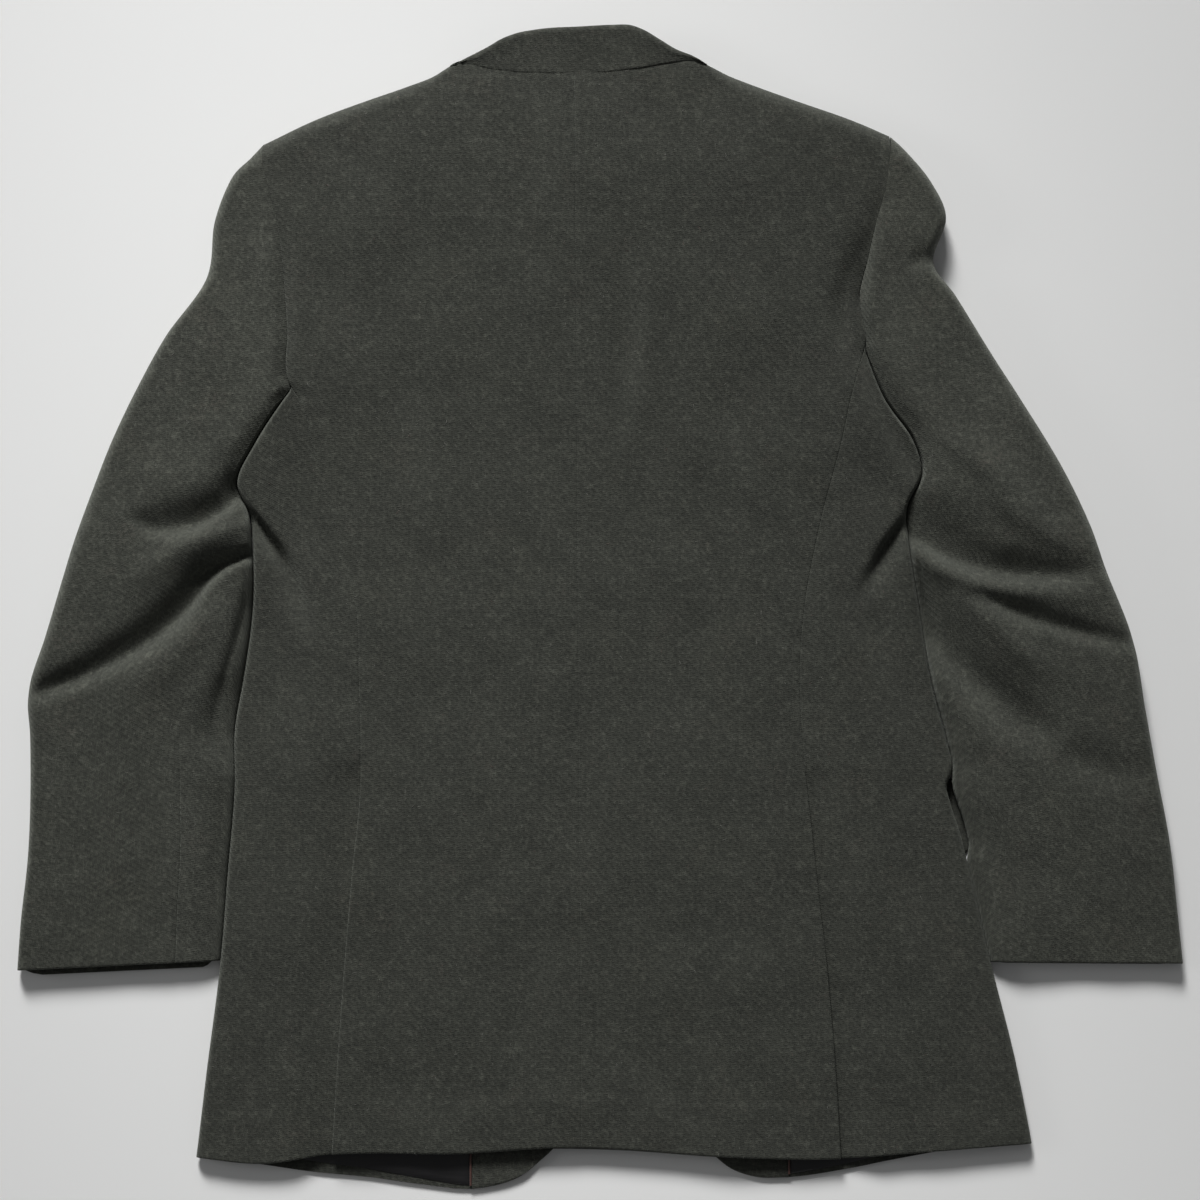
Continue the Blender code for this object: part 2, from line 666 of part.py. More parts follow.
def make_sleeve(side):
    sign = 1 if side == "left" else -1
    pieces = (("sleeve_top", 0, True), ("sleeve_under", SLEEVE_BACK_ROWS - 0.5, False))
    for name, start, outward in pieces:
        outer_rows, inner_rows = [], []
        for at in sleeve_rows(side, start):
            inner, outer, thick, seam, under = sleeve_station(side, at)
            width = np.linalg.norm(outer - inner)
            gap = SEAM / 2 / width
            near, far = (inner, outer) if outward else (outer, inner)
            seam, under = (seam + gap, under + gap) if outward else (1 - seam + gap, 1 - under + gap)
            if outward and at < SLEEVE_BACK_ROWS - 0.6:
                seam = under = 0.0
                near = near - np.array([sign * SEAM / 2, 0])
                far = far - np.array([sign * SEAM / 2, 0])
            reach = width * 0.999 if at == 0 else min(0.5 * thick, 0.7 * width * (1 - seam))
            last = 1 - reach / width
            top = near + np.linspace(seam, last, 7 if outward else 4)[:, None] * (far - near)
            bottom = near + np.linspace(last, under, 6 if outward else 4)[:, None] * (far - near)
            if at == len(SLEEVES[side]["thick"]) - 1:
                bottom[1 if outward else 0 :, 1] -= CUFF_STEP[side]
            heights = sleeve_height(top, thick)
            low = np.zeros(len(bottom))
            parts = wrap(top, heights, far, heights[-1], reach, 0.0, bottom, low, TURN_STEPS)
            outer_rows.append(parts[0])
            inner_rows.append(parts[1])
        colour = TWEED if outward else TWEED_DARK
        add_sheet(f"{name}_{side}", np.array(outer_rows), np.array(inner_rows), colour)


def make_collar():
    """Leaf over the neck edge, tight fold at the top, stand below; each row runs across it."""
    lines = COLLAR_LINES
    outer_rows, inner_rows = [], []
    for x in np.linspace(lines["x"][0], lines["x"][-1], COLLAR_COLUMNS + 1):
        leaf, fold = float(curve(x, lines["x"], lines["leaf"])), float(curve(x, lines["x"], lines["fold"]))
        neck = float(np.interp(x, TOP["x"], TOP["y"])) + SEAM
        level = float(body_height(x, neck))
        reach = min(COLLAR_REACH, 0.45 * (fold - neck))
        y = np.linspace(leaf, fold - reach, 4)
        share = (y - leaf) / (fold - reach - leaf)
        heights = level + COLLAR_CLEAR + COLLAR_WALL + COLLAR_PUFF * share**2
        stand = np.linspace(fold - reach, neck, 3)
        low = level - WALL - COLLAR_PUFF * (stand - neck) / (fold - neck)
        edge = np.array([x, fold])
        tops = np.column_stack([np.full(4, x), y])
        bottoms = np.column_stack([np.full(3, x), stand])
        parts = wrap(tops, heights, edge, heights[-1], reach, low[0], bottoms, low, TURN_STEPS)
        outer_rows.append(parts[0])
        inner_rows.append(parts[1])
    add_sheet("collar", np.array(outer_rows), np.array(inner_rows), TWEED)


def on_roll_line(side, shape):
    """Outline points of a lapel or a collar end."""
    sign = 1 if side == "left" else -1
    edge = FRONT_EDGE[side]
    start, end = np.array([edge["x"][-2], edge["y"][-2]]), np.array([edge["x"][-1], edge["y"][-1]])
    run = end - start
    outward = np.array([-run[1], run[0]]) * sign / np.linalg.norm(run)
    return [start + a * run + o * outward for a, o in zip(shape["along"], shape["out"])]


def make_button(name, centre):
    """A turned disc with a raised rim, on the outside of the coat."""
    count, last_ring = BUTTON_SIDES, (len(BUTTON_PROFILE) - 1) * BUTTON_SIDES
    turn = 2 * np.pi * np.arange(count) / count
    ring = np.stack([np.cos(turn), np.sin(turn)], -1)
    points = [(*(centre + BUTTON_RADIUS * share * p), z) for share, z in BUTTON_PROFILE for p in ring]
    faces = [list(range(count)), list(range(last_ring, last_ring + count))[::-1]]
    for ring_start in range(0, last_ring, count):
        for i in range(count):
            j = (i + 1) % count
            faces.append([ring_start + i, ring_start + count + i, ring_start + count + j, ring_start + j])
    add_mesh(name, points, faces, HORN, 0.45)


def main():
    for thing in list(bpy.data.objects):
        bpy.data.objects.remove(thing)
    for side in ("left", "right"):
        make_back(side)
        make_side(side)
        make_front(side)
        make_sleeve(side)
        add_plate(f"lapel_{side}", on_roll_line(side, LAPEL[side]), 0, LAPEL_WALL, TWEED)
        add_plate(f"collar_end_{side}", on_roll_line(side, COLLAR_END), 0, LAPEL_WALL, TWEED)
    make_collar()
    for name, outline in FLAPS.items():
        add_plate(name, list(zip(outline["x"], outline["y"])), 0, LAPEL_WALL, TWEED)
    for name, centre in BUTTONS.items():
        make_button(name, centre)


main()
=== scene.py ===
# Looks of a tweed sport coat that lies flat with its back up. Tables and sizes are in millimetres,
# meshes in metres. +X is the coat's right side seen from behind, +Y runs towards the collar, +Z is up.
import json

import bpy
import numpy as np
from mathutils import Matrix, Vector

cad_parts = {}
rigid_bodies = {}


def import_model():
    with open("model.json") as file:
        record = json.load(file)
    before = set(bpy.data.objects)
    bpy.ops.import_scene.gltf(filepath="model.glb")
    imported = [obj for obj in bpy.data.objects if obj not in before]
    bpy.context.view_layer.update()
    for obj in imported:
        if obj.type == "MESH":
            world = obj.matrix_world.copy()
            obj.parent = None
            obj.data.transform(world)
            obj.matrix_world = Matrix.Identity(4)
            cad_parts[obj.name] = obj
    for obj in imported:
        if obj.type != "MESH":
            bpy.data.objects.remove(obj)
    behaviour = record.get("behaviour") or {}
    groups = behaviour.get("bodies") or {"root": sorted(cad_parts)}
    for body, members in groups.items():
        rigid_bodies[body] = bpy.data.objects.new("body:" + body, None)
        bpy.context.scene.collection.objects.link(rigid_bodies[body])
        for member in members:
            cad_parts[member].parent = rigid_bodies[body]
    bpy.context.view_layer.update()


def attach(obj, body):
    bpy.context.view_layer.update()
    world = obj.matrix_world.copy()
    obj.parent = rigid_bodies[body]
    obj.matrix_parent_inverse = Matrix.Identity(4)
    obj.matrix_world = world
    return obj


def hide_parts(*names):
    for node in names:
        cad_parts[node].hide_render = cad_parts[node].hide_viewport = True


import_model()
scene = bpy.context.scene
mm = 0.001
wall = 2.2  # tweed with its backing
backRows = 7  # sleeve stations that lie on the armhole
armholeThick = 26.0
hemY = -394.0  # where the side panels' straight hem line runs before it follows the hem table


def table(columns, *rows):
    # Named columns of a table that is written row by row
    return {name: np.array(column, float) for name, column in zip(columns.split(), zip(*rows))}


def xyRows(*rows):
    return table("x y", *rows)


def crease(*rows):
    # Points along a fold, its width on the left and right as seen along it, and its depth, which is below
    # nought for a trough
    return table("x y left right depth", *rows)


# Side-back seam and folded edge of the body, hem to underarm
sides = {
    "left": table(
        "y seam edge",
        (-394, -193, -291), (-330, -189, -283), (-260, -184, -274), (-190, -178, -268), (-127, -172, -263),
        (-88, -172, -263), (-52, -173, -257), (0, -175, -250), (45, -186, -250), (68, -192, -252.5),
        (90, -198, -261), (118, -206, -248.5), (150, -215, -227.5),
    ),
    "right": table(
        "y seam edge",
        (-394, 174, 312), (-330, 170, 301), (-260, 164, 283.5), (-190, 156, 267), (-160, 153, 259.5),
        (-140, 150.5, 253), (-127, 149, 250.5), (-118, 148, 254), (-94, 146, 250), (-58, 144, 240.5),
        (0, 147, 230.5), (50, 156, 223), (72, 161, 221.5), (98, 168, 232.5), (121, 174, 226),
        (150, 180, 206), (176, 187, 195),
    ),
}

# A sleeve's inner and outer ends at each station, shoulder to cuff, its height, and where its two seams run
sleeves = {
    "left": table(
        "in_x in_y out_x out_y thick seam under",
        (-242, 321.5, -242, 333.5, 26, 0, 0), (-240, 312, -252, 323, 26, 0, 0),
        (-237, 300, -265, 309, 26, 0, 0), (-231, 274, -277, 278, 26, 0, 0),
        (-227, 240, -283, 237, 26, 0, 0), (-224, 201, -312, 196, 26, 0, 0),
        (-221, 159, -334, 156, 26, 0, 0), (-245, 130, -351, 120, 27, 0.1, 0.08),
        (-262.5, 84, -365, 84, 29, 0.16, 0.16), (-252.5, 53, -377, 51, 30, 0.19, 0.24),
        (-251.5, 24, -386, 22, 29, 0.2, 0.3), (-254.5, -19, -399, -21, 27, 0.22, 0.34),
        (-259.5, -55, -411, -59, 25, 0.25, 0.35), (-264.5, -89, -410, -93, 23, 0.26, 0.35),
        (-265, -131, -410, -136, 20, 0.26, 0.35), (-268.5, -174, -412, -179, 18, 0.24, 0.35),
        (-272, -217, -417, -223, 15, 0.23, 0.35), (-275, -254, -420, -261, 12, 0.22, 0.35),
    ),
    "right": table(
        "in_x in_y out_x out_y thick seam under",
        (208.5, 327.5, 209.5, 339.3, 26, 0, 0), (207.5, 318, 220.5, 329, 26, 0, 0),
        (205, 301, 238.5, 307, 26, 0, 0), (198.5, 276, 249.5, 281, 26, 0, 0),
        (192.5, 249, 240.5, 249, 26, 0, 0), (187.3, 226, 257, 224, 26, 0, 0),
        (191, 188, 281, 185, 26, 0, 0), (210.5, 150, 304, 149, 27, 0.1, 0.08),
        (234, 101, 332, 103, 30, 0.16, 0.16), (224, 60, 352, 62, 31, 0.17, 0.24),
        (229, 22, 365, 26, 30, 0.16, 0.3), (236.5, -23, 384, -23, 28, 0.13, 0.34),
        (246, -73, 393, -73, 25, 0.12, 0.35), (256, -121, 402, -121, 21, 0.115, 0.35),
        (265.5, -170, 411, -168, 18, 0.17, 0.35), (274, -213, 416, -211, 15, 0.2, 0.35),
        (284, -255, 421, -256, 12, 0.235, 0.35),
    ),
}

# Height of the coat off the surface, at its folded edges and in its middle
heights = table(
    "y edge middle",
    (-420, 10, 10.5), (-300, 12, 12.5), (-150, 14, 16), (0, 16, 19), (90, 20, 21), (150, armholeThick, 23),
    (250, armholeThick, 27), (340, armholeThick, 29), (400, armholeThick, 25),
)

# Shoulders and the neck edge under the collar: the rounding's reach and the seam's share of the height
topLine = table(
    "x y round rim",
    (-242, 333.5, 12, 0.5), (-203, 352, 12, 0.5), (-165, 366, 12, 0.5), (-139, 375, 11, 0.5),
    (-118, 383, 9, 0.6), (-111, 387, 6, 0.78), (-104, 391, 4, 0.88), (-96, 393, 3, 0.93),
    (-80, 393, 3, 0.93), (-18, 394, 3, 0.93), (50, 393, 3, 0.93), (62, 393.4, 3, 0.93), (70, 393.2, 4, 0.9),
    (78, 390, 6, 0.8), (86, 386.2, 8, 0.66), (92, 383.4, 9, 0.58), (110, 376.5, 11, 0.5),
    (139, 366, 12, 0.5), (189, 348.3, 12, 0.5), (209.5, 339.3, 12, 0.5),
)

# Lower edges: back and side panels, then the fronts, which are longer
hem = xyRows(
    (-291, -396), (-245, -400.5), (-194, -394), (-98, -393), (-32, -389), (12, -390), (82, -395),
    (173, -397), (224, -393), (312, -386),
)
frontHem = {
    "left": xyRows(
        (-291, -396), (-249, -401), (-207, -407), (-165, -411), (-129, -416), (-88, -419), (-55, -409),
    ),
    "right": xyRows(
        (312, -386), (260, -390), (213, -398), (178, -405), (133, -411), (112, -410.5), (94, -404),
    ),
}
frontEdge = {
    "left": xyRows(
        (-55, -409), (-44, -400), (-31, -388), (-8, -340), (13, -260), (27, -160), (31, -100), (32, -60),
        (29, 58),
    ),
    "right": xyRows(
        (94, -404), (84, -396), (74, -384), (50, -340), (22, -260), (2, -160), (-4, -100), (-5, -60),
        (-7, 58),
    ),
}
rollEnd = {"left": (-108, 386), "right": (80, 386)}  # where each roll line meets the neck
pipingX = {"left": -93.0, "right": 137.0}

# Folds of the body and of the sleeves
bodyFolds = {
    "dragLeft": crease(
        (-253, 74, 2.5, 3, -1), (-247, 64, 3, 4, -7), (-238, 51, 3.5, 6, -10), (-228, 37, 4, 7, -9),
        (-220, 20, 4.5, 8, -6.5), (-214, 0, 5, 8, -3.5), (-209, -20, 6, 8, 0),
    ),
    "edgeLeft": crease(
        (-253, 58, 4, 5, 0), (-246, 40, 5, 5, 2.6), (-242, 14, 5, 7, 2.2), (-243, -16, 5, 8, 0),
    ),
    "dragRight": crease(
        (224, 72, 3, 3, -1), (217, 60, 6, 3, -6.5), (208, 47, 9, 3.5, -9), (200, 33, 10, 4, -7.5),
        (193, 18, 10, 5, -4.5), (186, 2, 8, 7, 0),
    ),
    "edgeRight": crease((226, 60, 5, 4, 0), (222, 40, 7, 5, 2.4), (224, 16, 7, 5, 1.8), (229, -12, 7, 5, 0)),
    "underRight": crease((196, 14, 7, 7, 0), (203, -14, 8, 8, -1.6), (208, -46, 9, 9, 0)),
    "centre": crease(
        (14, 325, 9, 9, 0), (17, 262, 10, 10, -1.8), (19, 205, 11, 12, -3.4), (17, 160, 11, 11, -2.8),
        (13, 110, 10, 10, 0),
    ),
    "centreRidge": crease(
        (36, 240, 9, 9, 0), (34, 190, 10, 10, 1.5), (31, 160, 10, 10, 1.5), (28, 115, 9, 9, 0),
    ),
    "rightBlade": crease((100, 312, 10, 10, 0), (102, 262, 12, 12, -1.6), (105, 205, 12, 12, 0)),
    "besideArmhole": crease(
        (188, 266, 5, 6, 0), (180, 242, 5, 7, -2.2), (175, 218, 5, 8, -3.6), (174, 190, 6, 8, -2.8),
        (178, 160, 6, 8, 0),
    ),
    "rightHollow": crease(
        (202, 300, 5, 8, 0), (196, 274, 5, 12, -4), (190, 248, 5, 13, -7.5), (187, 222, 5, 13, -9),
        (189, 196, 5, 12, -9), (196, 172, 5, 12, -8), (206, 148, 5, 12, -7), (217, 122, 5, 11, -5.5),
        (226, 104, 5, 9, -4), (230, 90, 5, 7, 0),
    ),
    "leftBlade": crease((-146, 190, 11, 11, 0), (-139, 160, 12, 12, -1.4), (-131, 120, 12, 12, 0)),
    "lowLeft": crease((-150, -230, 16, 16, 0), (-147, -290, 18, 18, -1.6), (-142, -350, 18, 18, 0)),
    "lowCentre": crease((4, -230, 12, 14, 0), (8, -280, 14, 16, -1.4), (6, -340, 14, 16, 0)),
    "waist": crease(
        (-160, -60, 22, 26, 0), (-60, -74, 26, 30, -1), (60, -70, 26, 30, -1), (130, -58, 22, 26, 0),
    ),
}
sleeveFolds = {
    "leftUpper": crease(
        (-255, 94, 3, 6, -6), (-259, 85, 3.5, 11, -12), (-266, 75, 4, 14, -14), (-277, 67, 4, 16, -14),
        (-292, 60, 4.5, 17, -13), (-308, 57, 5, 16, -11), (-321, 58, 5, 12, -8), (-330, 63, 5, 9, -4),
        (-336, 71, 6, 8, 0),
    ),
    "leftRidge": crease(
        (-252, 60, 6, 5, 1), (-272, 54, 8, 6, 4.2), (-298, 44, 10, 7, 4), (-326, 26, 12, 9, 2),
        (-352, 8, 12, 12, 0),
    ),
    "leftElbow": crease(
        (-246, 43, 2.5, 3, -5), (-255, 37, 3, 6, -9), (-269, 31, 3.5, 8, -11.5), (-282, 21, 4.5, 11, -12.5),
        (-298, 0, 6, 14, -13), (-322, -21, 6.5, 14, -12.5), (-347, -36, 6.5, 13, -11.5),
        (-374, -49, 6.5, 10, -9), (-397, -58, 6.5, 8, -6.5), (-412, -64, 7, 7, -4),
    ),
    "leftBelowElbow": crease(
        (-266, 8, 9, 8, 0), (-288, -16, 13, 9, 3.6), (-316, -42, 15, 11, 3.6), (-352, -64, 14, 12, 0),
    ),
    "leftInner": crease(
        (-250, 26, 6, 3, -2), (-252, 2, 7, 5, -8), (-256, -24, 8, 7, -11), (-260, -50, 9, 10, -13),
        (-265, -72, 9, 15, -13), (-267, -88, 9, 16, -12), (-265, -102, 9, 10, -8), (-264, -118, 8, 7, 0),
    ),
    "leftForearm": crease((-300, -120, 14, 14, 0), (-306, -165, 16, 16, -1.4), (-318, -215, 16, 16, 0)),
    "rightBowl": crease(
        (206, 66, 30, 5, -18), (220, 58, 32, 6, -20), (233, 49, 32, 7, -20.5), (247, 41, 30, 7, -20),
        (263, 34, 24, 7, -18.5), (281, 28, 18, 7, -16), (302, 25, 15, 7, -12), (324, 24, 11, 6, -8),
        (344, 25, 8, 6, -3.5), (358, 28, 7, 5, 0),
    ),
    "rightBrow": crease(
        (240, 128, 14, 7, 0), (262, 114, 15, 8, 3), (280, 96, 16, 8, 5), (290, 74, 16, 8, 5),
        (310, 60, 16, 8, 4), (336, 47, 14, 8, 2.4), (356, 42, 12, 8, 0),
    ),
    "rightRidge": crease(
        (225, 46, 5, 5, 1), (240, 31, 6, 7, 3.4), (262, 21, 7, 8, 3.6), (290, 14, 7, 8, 3.4),
        (326, 10, 7, 8, 2.6), (362, 7, 8, 8, 0),
    ),
    "rightElbow": crease(
        (262, 14, 7, 7, 0), (281, 6, 7, 6, -4.5), (300, -2, 8, 6, -6.5), (322, -10, 8, 6, -7),
        (346, -17, 8, 6, -6.5), (375, -24, 7, 6, -3.5),
    ),
    "rightLowRidge": crease(
        (254, 16, 7, 6, 0), (276, -6, 10, 8, 4), (304, -32, 11, 10, 4.2), (340, -58, 11, 9, 0),
    ),
    "rightLow": crease(
        (222, 52, 6, 3, -3), (223, 36, 10, 4, -10), (226, 12, 16, 6, -16), (233, -9, 19, 9, -18),
        (247, -27, 19, 12, -17), (267, -48, 17, 15, -15), (288, -66, 16, 16, -12), (308, -82, 15, 16, -9),
        (332, -100, 14, 14, 0),
    ),
    "rightForearm": crease(
        (318, -92, 12, 12, 0), (350, -110, 13, 13, -3), (386, -120, 12, 12, -2), (406, -124, 10, 10, 0),
    ),
    "rightHead": crease((238, 262, 7, 7, 0), (232, 251, 7, 7, -3.4), (219, 247, 7, 7, 0)),
    "rightArm": crease(
        (202, 300, 4, 5, 0), (196, 274, 4, 5, -2.6), (190, 248, 4.5, 5, -4.2), (187, 222, 4.5, 5, -5.2),
        (189, 196, 5, 5, -5.6), (196, 172, 6, 5, -5.6), (206, 148, 7, 5, -5), (217, 122, 9, 5, -3),
        (226, 104, 9, 5, 0),
    ),
}

# What lies under the fronts and lifts them: the middle and half size of each box, and the rise. The lift
# keeps its height for a margin round the box and then slopes away
liftMargin, liftSlope = 18.0, 34.0
lifts = table(
    "x y half_x half_y rise",
    (-15, 238, 132, 190, 2.6), (-186, -152, 74, 26, 2.6), (190, -152, 81, 28, 2.6),
    (11, 32, 11.5, 11.5, 4.6), (14, -66, 11.5, 11.5, 4.6),
)

# How the right front lies over the left one: its rise, the left one's edge, and how soft the slope is
lap = {"rise": wall + 1.8, "edgeX": 52.0, "middleY": -75.0, "halfLength": 190.0, "slope": 34.0}

# Fall into the armhole seam behind a low ridge: reaches and depths, fading out up the seam
armhole = {
    "dip": (4.6, 2.7),
    "ridge": 0.7,
    "ridgeAt": 9.0,
    "ridgeWidth": 4.0,
    "roll": (2.0, 1.3),
    "fadeFrom": 305.0,
    "fadeOver": 75.0,
}

# What all the cloth shares
surface = {
    "edgeSlope": 80.0,  # how far in from the folded edges the body reaches its middle height
    "edgeCalm": 30.0,  # and its full unevenness
    "seamGap": 0.02,
    "topStep": 3.0,  # grid spacing on what the photo shows
    "underStep": 5.0,  # and on what lies underneath
    "edgeSteps": (0.25, 0.6, 1.1, 1.8, 2.8, 4.2, 6.2),  # extra grid lines beside a seam or an edge
    "drapeWaves": 16,
    "drapeDepth": 0.22,
    "drapeLengths": (38.0, 150.0),
    "puckerDepth": 0.16,
    "puckerLength": 21.0,
    "puckerReach": 9.0,
}


def raised(plan, levels):
    # Points in plan with their heights
    return np.concatenate([plan, levels[..., None]], -1)


def smooth(share):
    # 0 to 1 with level ends: 3s^2 - 2s^3
    share = np.clip(share, 0, 1)
    return share * share * (3 - 2 * share)


def softFloor(height, bend):
    # Never below nought, with a soft bend: half of (h + sqrt(h^2 + bend^2))
    return 0.5 * (height + np.sqrt(height * height + bend * bend))


def through(at, knots, values):
    # Cubic through the knots, each slope taken from its neighbours
    if knots[0] > knots[-1]:
        knots, values = knots[::-1], values[::-1]
    slopes = np.gradient(values, knots)
    at = np.clip(at, knots[0], knots[-1])
    k = np.clip(np.searchsorted(knots, at) - 1, 0, len(knots) - 2)
    span = knots[k + 1] - knots[k]
    t = (at - knots[k]) / span
    start = (1 + 2 * t) * (1 - t) ** 2 * values[k] + t * (1 - t) ** 2 * span * slopes[k]
    end = t * t * (3 - 2 * t) * values[k + 1] - t * t * (1 - t) * span * slopes[k + 1]
    return start + end


def runOf(points):
    # Length of a line up to each of its points
    return np.concatenate([[0], np.cumsum(np.linalg.norm(np.diff(points, axis=0), axis=1))])


def lineThrough(points, shares):
    # Smooth line: each coordinate is a cubic of the length run, read at shares of the whole
    points = np.asarray(points, float)
    run = runOf(points)
    fineRun = np.linspace(0, run[-1], 40 * len(points))
    fine = np.stack([through(fineRun, run, points[:, i]) for i in range(points.shape[1])], -1)
    length = runOf(fine)
    return np.stack([np.interp(shares, length / length[-1], fine[:, i]) for i in range(fine.shape[1])], -1)


def gridShares(length, step, first=True, last=True):
    # Shares of a length, evenly spaced, with finer steps beside the ends that are seams or edges
    near = np.array((0.0, *surface["edgeSteps"]))
    low = near / length if first else np.zeros(1)
    high = 1 - near[::-1] / length if last else np.ones(1)
    count = max(2, int(round((high[0] - low[-1]) * length / step)))
    return np.concatenate([low, np.linspace(low[-1], high[0], count + 1)[1:-1], high])


def coons(left, right, bottom, top, u, v):
    # Flat patch between four edges that share their corners; v runs up the rows, u across the columns
    u, v = u[None, :, None], v[:, None, None]
    across = (1 - u) * left[:, None] + u * right[:, None]
    upward = (1 - v) * bottom[None] + v * top[None]
    corners = (1 - v) * ((1 - u) * bottom[0] + u * bottom[-1]) + v * ((1 - u) * top[0] + u * top[-1])
    return across + upward - corners


def foldRise(folds, x, y):
    # Sum of the folds: depth * exp(-(distance / width)^2) round a smooth line through each one's points
    total = np.zeros(np.broadcast(x, y).shape)
    for fold in folds.values():
        points = np.stack(list(fold.values()), -1)
        run = runOf(points[:, :2])
        at = np.linspace(0, run[-1], 6 * len(run))
        px, py, left, right, depth = (through(at, run, points[:, i]) for i in range(5))
        nearest, found = np.full(total.shape, 99.0), np.zeros_like(total)
        for i in range(len(at) - 1):
            dx, dy = px[i + 1] - px[i], py[i + 1] - py[i]
            t = np.clip(((x - px[i]) * dx + (y - py[i]) * dy) / (dx * dx + dy * dy), 0, 1)
            offX, offY = x - px[i] - t * dx, y - py[i] - t * dy
            onLeft = dx * offY > dy * offX
            wide = [side[i] + t * (side[i + 1] - side[i]) for side in (left, right)]
            away = np.hypot(offX, offY) / np.where(onLeft, *wide)
            closer = away < nearest
            nearest = np.where(closer, away, nearest)
            found = np.where(closer, depth[i] + t * (depth[i + 1] - depth[i]), found)
        total += found * np.exp(-(nearest**2))
    return total


def drape(x, y):
    # Soft unevenness of the cloth: a sum of sine waves in seeded directions
    rng = np.random.default_rng(11)
    shortest, longest = surface["drapeLengths"]
    total = np.zeros(np.broadcast(x, y).shape)
    for _ in range(surface["drapeWaves"]):
        length = shortest * (longest / shortest) ** rng.random()
        turn, phase = rng.random(2) * 2 * np.pi
        depth = surface["drapeDepth"] * (length / longest) ** 0.6
        total += depth * np.sin(2 * np.pi * (x * np.cos(turn) + y * np.sin(turn)) / length + phase)
    return total


def pucker(run, away, phase):
    # Uneven gathers beside a seam that die out away from it
    wave = np.sin(2 * np.pi * run / surface["puckerLength"] + phase + 1.7 * np.sin(run / 31 + phase))
    return surface["puckerDepth"] * wave * np.exp(-away / surface["puckerReach"])


def dip(away, reach, depth):
    # Soft fall of a surface towards a seam: depth * exp(-(away / reach)^1.5)
    return depth * np.exp(-((np.abs(away) / reach) ** 1.5))


def armholeFall(away, y):
    # Fall of the cloth into the armhole seam behind a low ridge, fading out towards the shoulder
    fade = 0.1 + 0.9 * smooth((armhole["fadeFrom"] - y) / armhole["fadeOver"])
    ridge = armhole["ridge"] * np.exp(-(((away - armhole["ridgeAt"]) / armhole["ridgeWidth"]) ** 2))
    return fade * (dip(away, *armhole["dip"]) - ridge), fade * roll(away, *armhole["roll"])


def roll(away, radius, depth):
    # Quarter of an ellipse that takes a surface down into a seam or over an edge
    inside = 1 - np.clip(away / radius, 0, 1)
    return depth * (1 - np.sqrt(np.clip(1 - inside**2, 0, 1)))


def upArmhole(side, column):
    # A side line of the body with the armhole above it: heights and places, hem to shoulder
    rows, sleeve = sides[side], sleeves[side]
    up = slice(backRows - 1, None, -1)
    return np.concatenate([rows["y"], sleeve["in_y"][up]]), np.concatenate([rows[column], sleeve["in_x"][up]])


def seamX(side, y):
    # Side-back seam, carried on up the armhole
    return through(y, *upArmhole(side, "seam"))


def edgeX(side, y):
    # Folded edge of the body, which the sleeve lies against, carried on up the armhole
    top = sleeves[side]["in_y"][backRows - 1]
    return np.where(y < top, through(y, *upArmhole(side, "edge")), seamX(side, y))


def bodyHeight(x, y):
    # Top of the back and side panels: edge height, rising to the middle's, with the folds
    inside = np.minimum(x - edgeX("left", y), edgeX("right", y) - x)
    share = smooth(inside / surface["edgeSlope"])
    edge, middle = (through(y, heights["y"], heights[key]) for key in ("edge", "middle"))
    level = edge + (middle - edge) * share + foldRise(bodyFolds, x, y)
    return level + drape(x, y) * smooth(inside / surface["edgeCalm"])


def liftOf(x, y):
    # How far the cloth underneath rises over lapels, flaps and buttons
    total = np.zeros(np.broadcast(x, y).shape)
    for cx, cy, halfX, halfY, rise in zip(*lifts.values()):
        out = np.hypot(np.maximum(abs(x - cx) - halfX, 0), np.maximum(abs(y - cy) - halfY, 0))
        total = np.maximum(total, rise * (1 - smooth((out - liftMargin) / liftSlope)))
    return total


def frontBase(side, x, y):
    # Outer face of a front, which the right one carries over the left one
    rise = lap["rise"] if side == "right" else 0.0
    beside = 1 - smooth((x - lap["edgeX"]) / lap["slope"])
    level = 1 - smooth((abs(y - lap["middleY"]) - lap["halfLength"]) / lap["slope"])
    return liftOf(x, y) + rise * beside * level


def flatMap(outer):
    # UV map in metres: the place in plan, moved on by what slopes add to the length along and across, so
    # that a weave keeps its real size
    flat = outer[..., :2].copy()
    for axis, along in ((0, 1), (1, 0)):
        step = np.diff(outer, axis=axis)
        added = np.cumsum(np.linalg.norm(step, axis=-1) - np.linalg.norm(step[..., :2], axis=-1), axis)
        heading = np.sign(np.take(step[..., along], range(3), axis).mean())
        later = [slice(None), slice(None)]
        later[axis] = slice(1, None)
        flat[(*later, along)] += heading * added
    return flat.reshape(-1, 2) * mm


def clothShell(name, outer, inner, material):
    # Closed wall between two grids of points, joined round the rim
    rows, columns = outer.shape[:2]
    index = np.arange(rows * columns).reshape(rows, columns)
    a, b, c, d = index[:-1, :-1], index[:-1, 1:], index[1:, 1:], index[1:, :-1]
    skin = np.stack([a, b, c, d], -1).reshape(-1, 4)
    rim = np.concatenate([index[0, :-1], index[:-1, -1], index[-1, :0:-1], index[:0:-1, 0]])
    after = np.roll(rim, -1)
    inside = rows * columns
    around = np.stack([after, rim, rim + inside, after + inside], -1)
    faces = np.concatenate([skin, skin[:, ::-1] + inside, around])
    points = np.concatenate([outer.reshape(-1, 3), inner.reshape(-1, 3)]) * mm
    flat = np.tile(flatMap(outer), (2, 1))
    return addPiece(name, points, outward(points, faces.tolist()), flat, material)


def outward(points, faces):
    # The faces, turned round where they enclose a negative volume
    corners = points[np.array([face[:3] for face in faces])]
    volume = np.einsum("ij,ij->", corners[:, 0], np.cross(corners[:, 1], corners[:, 2]))
    return [face[::-1] for face in faces] if volume < 0 else faces


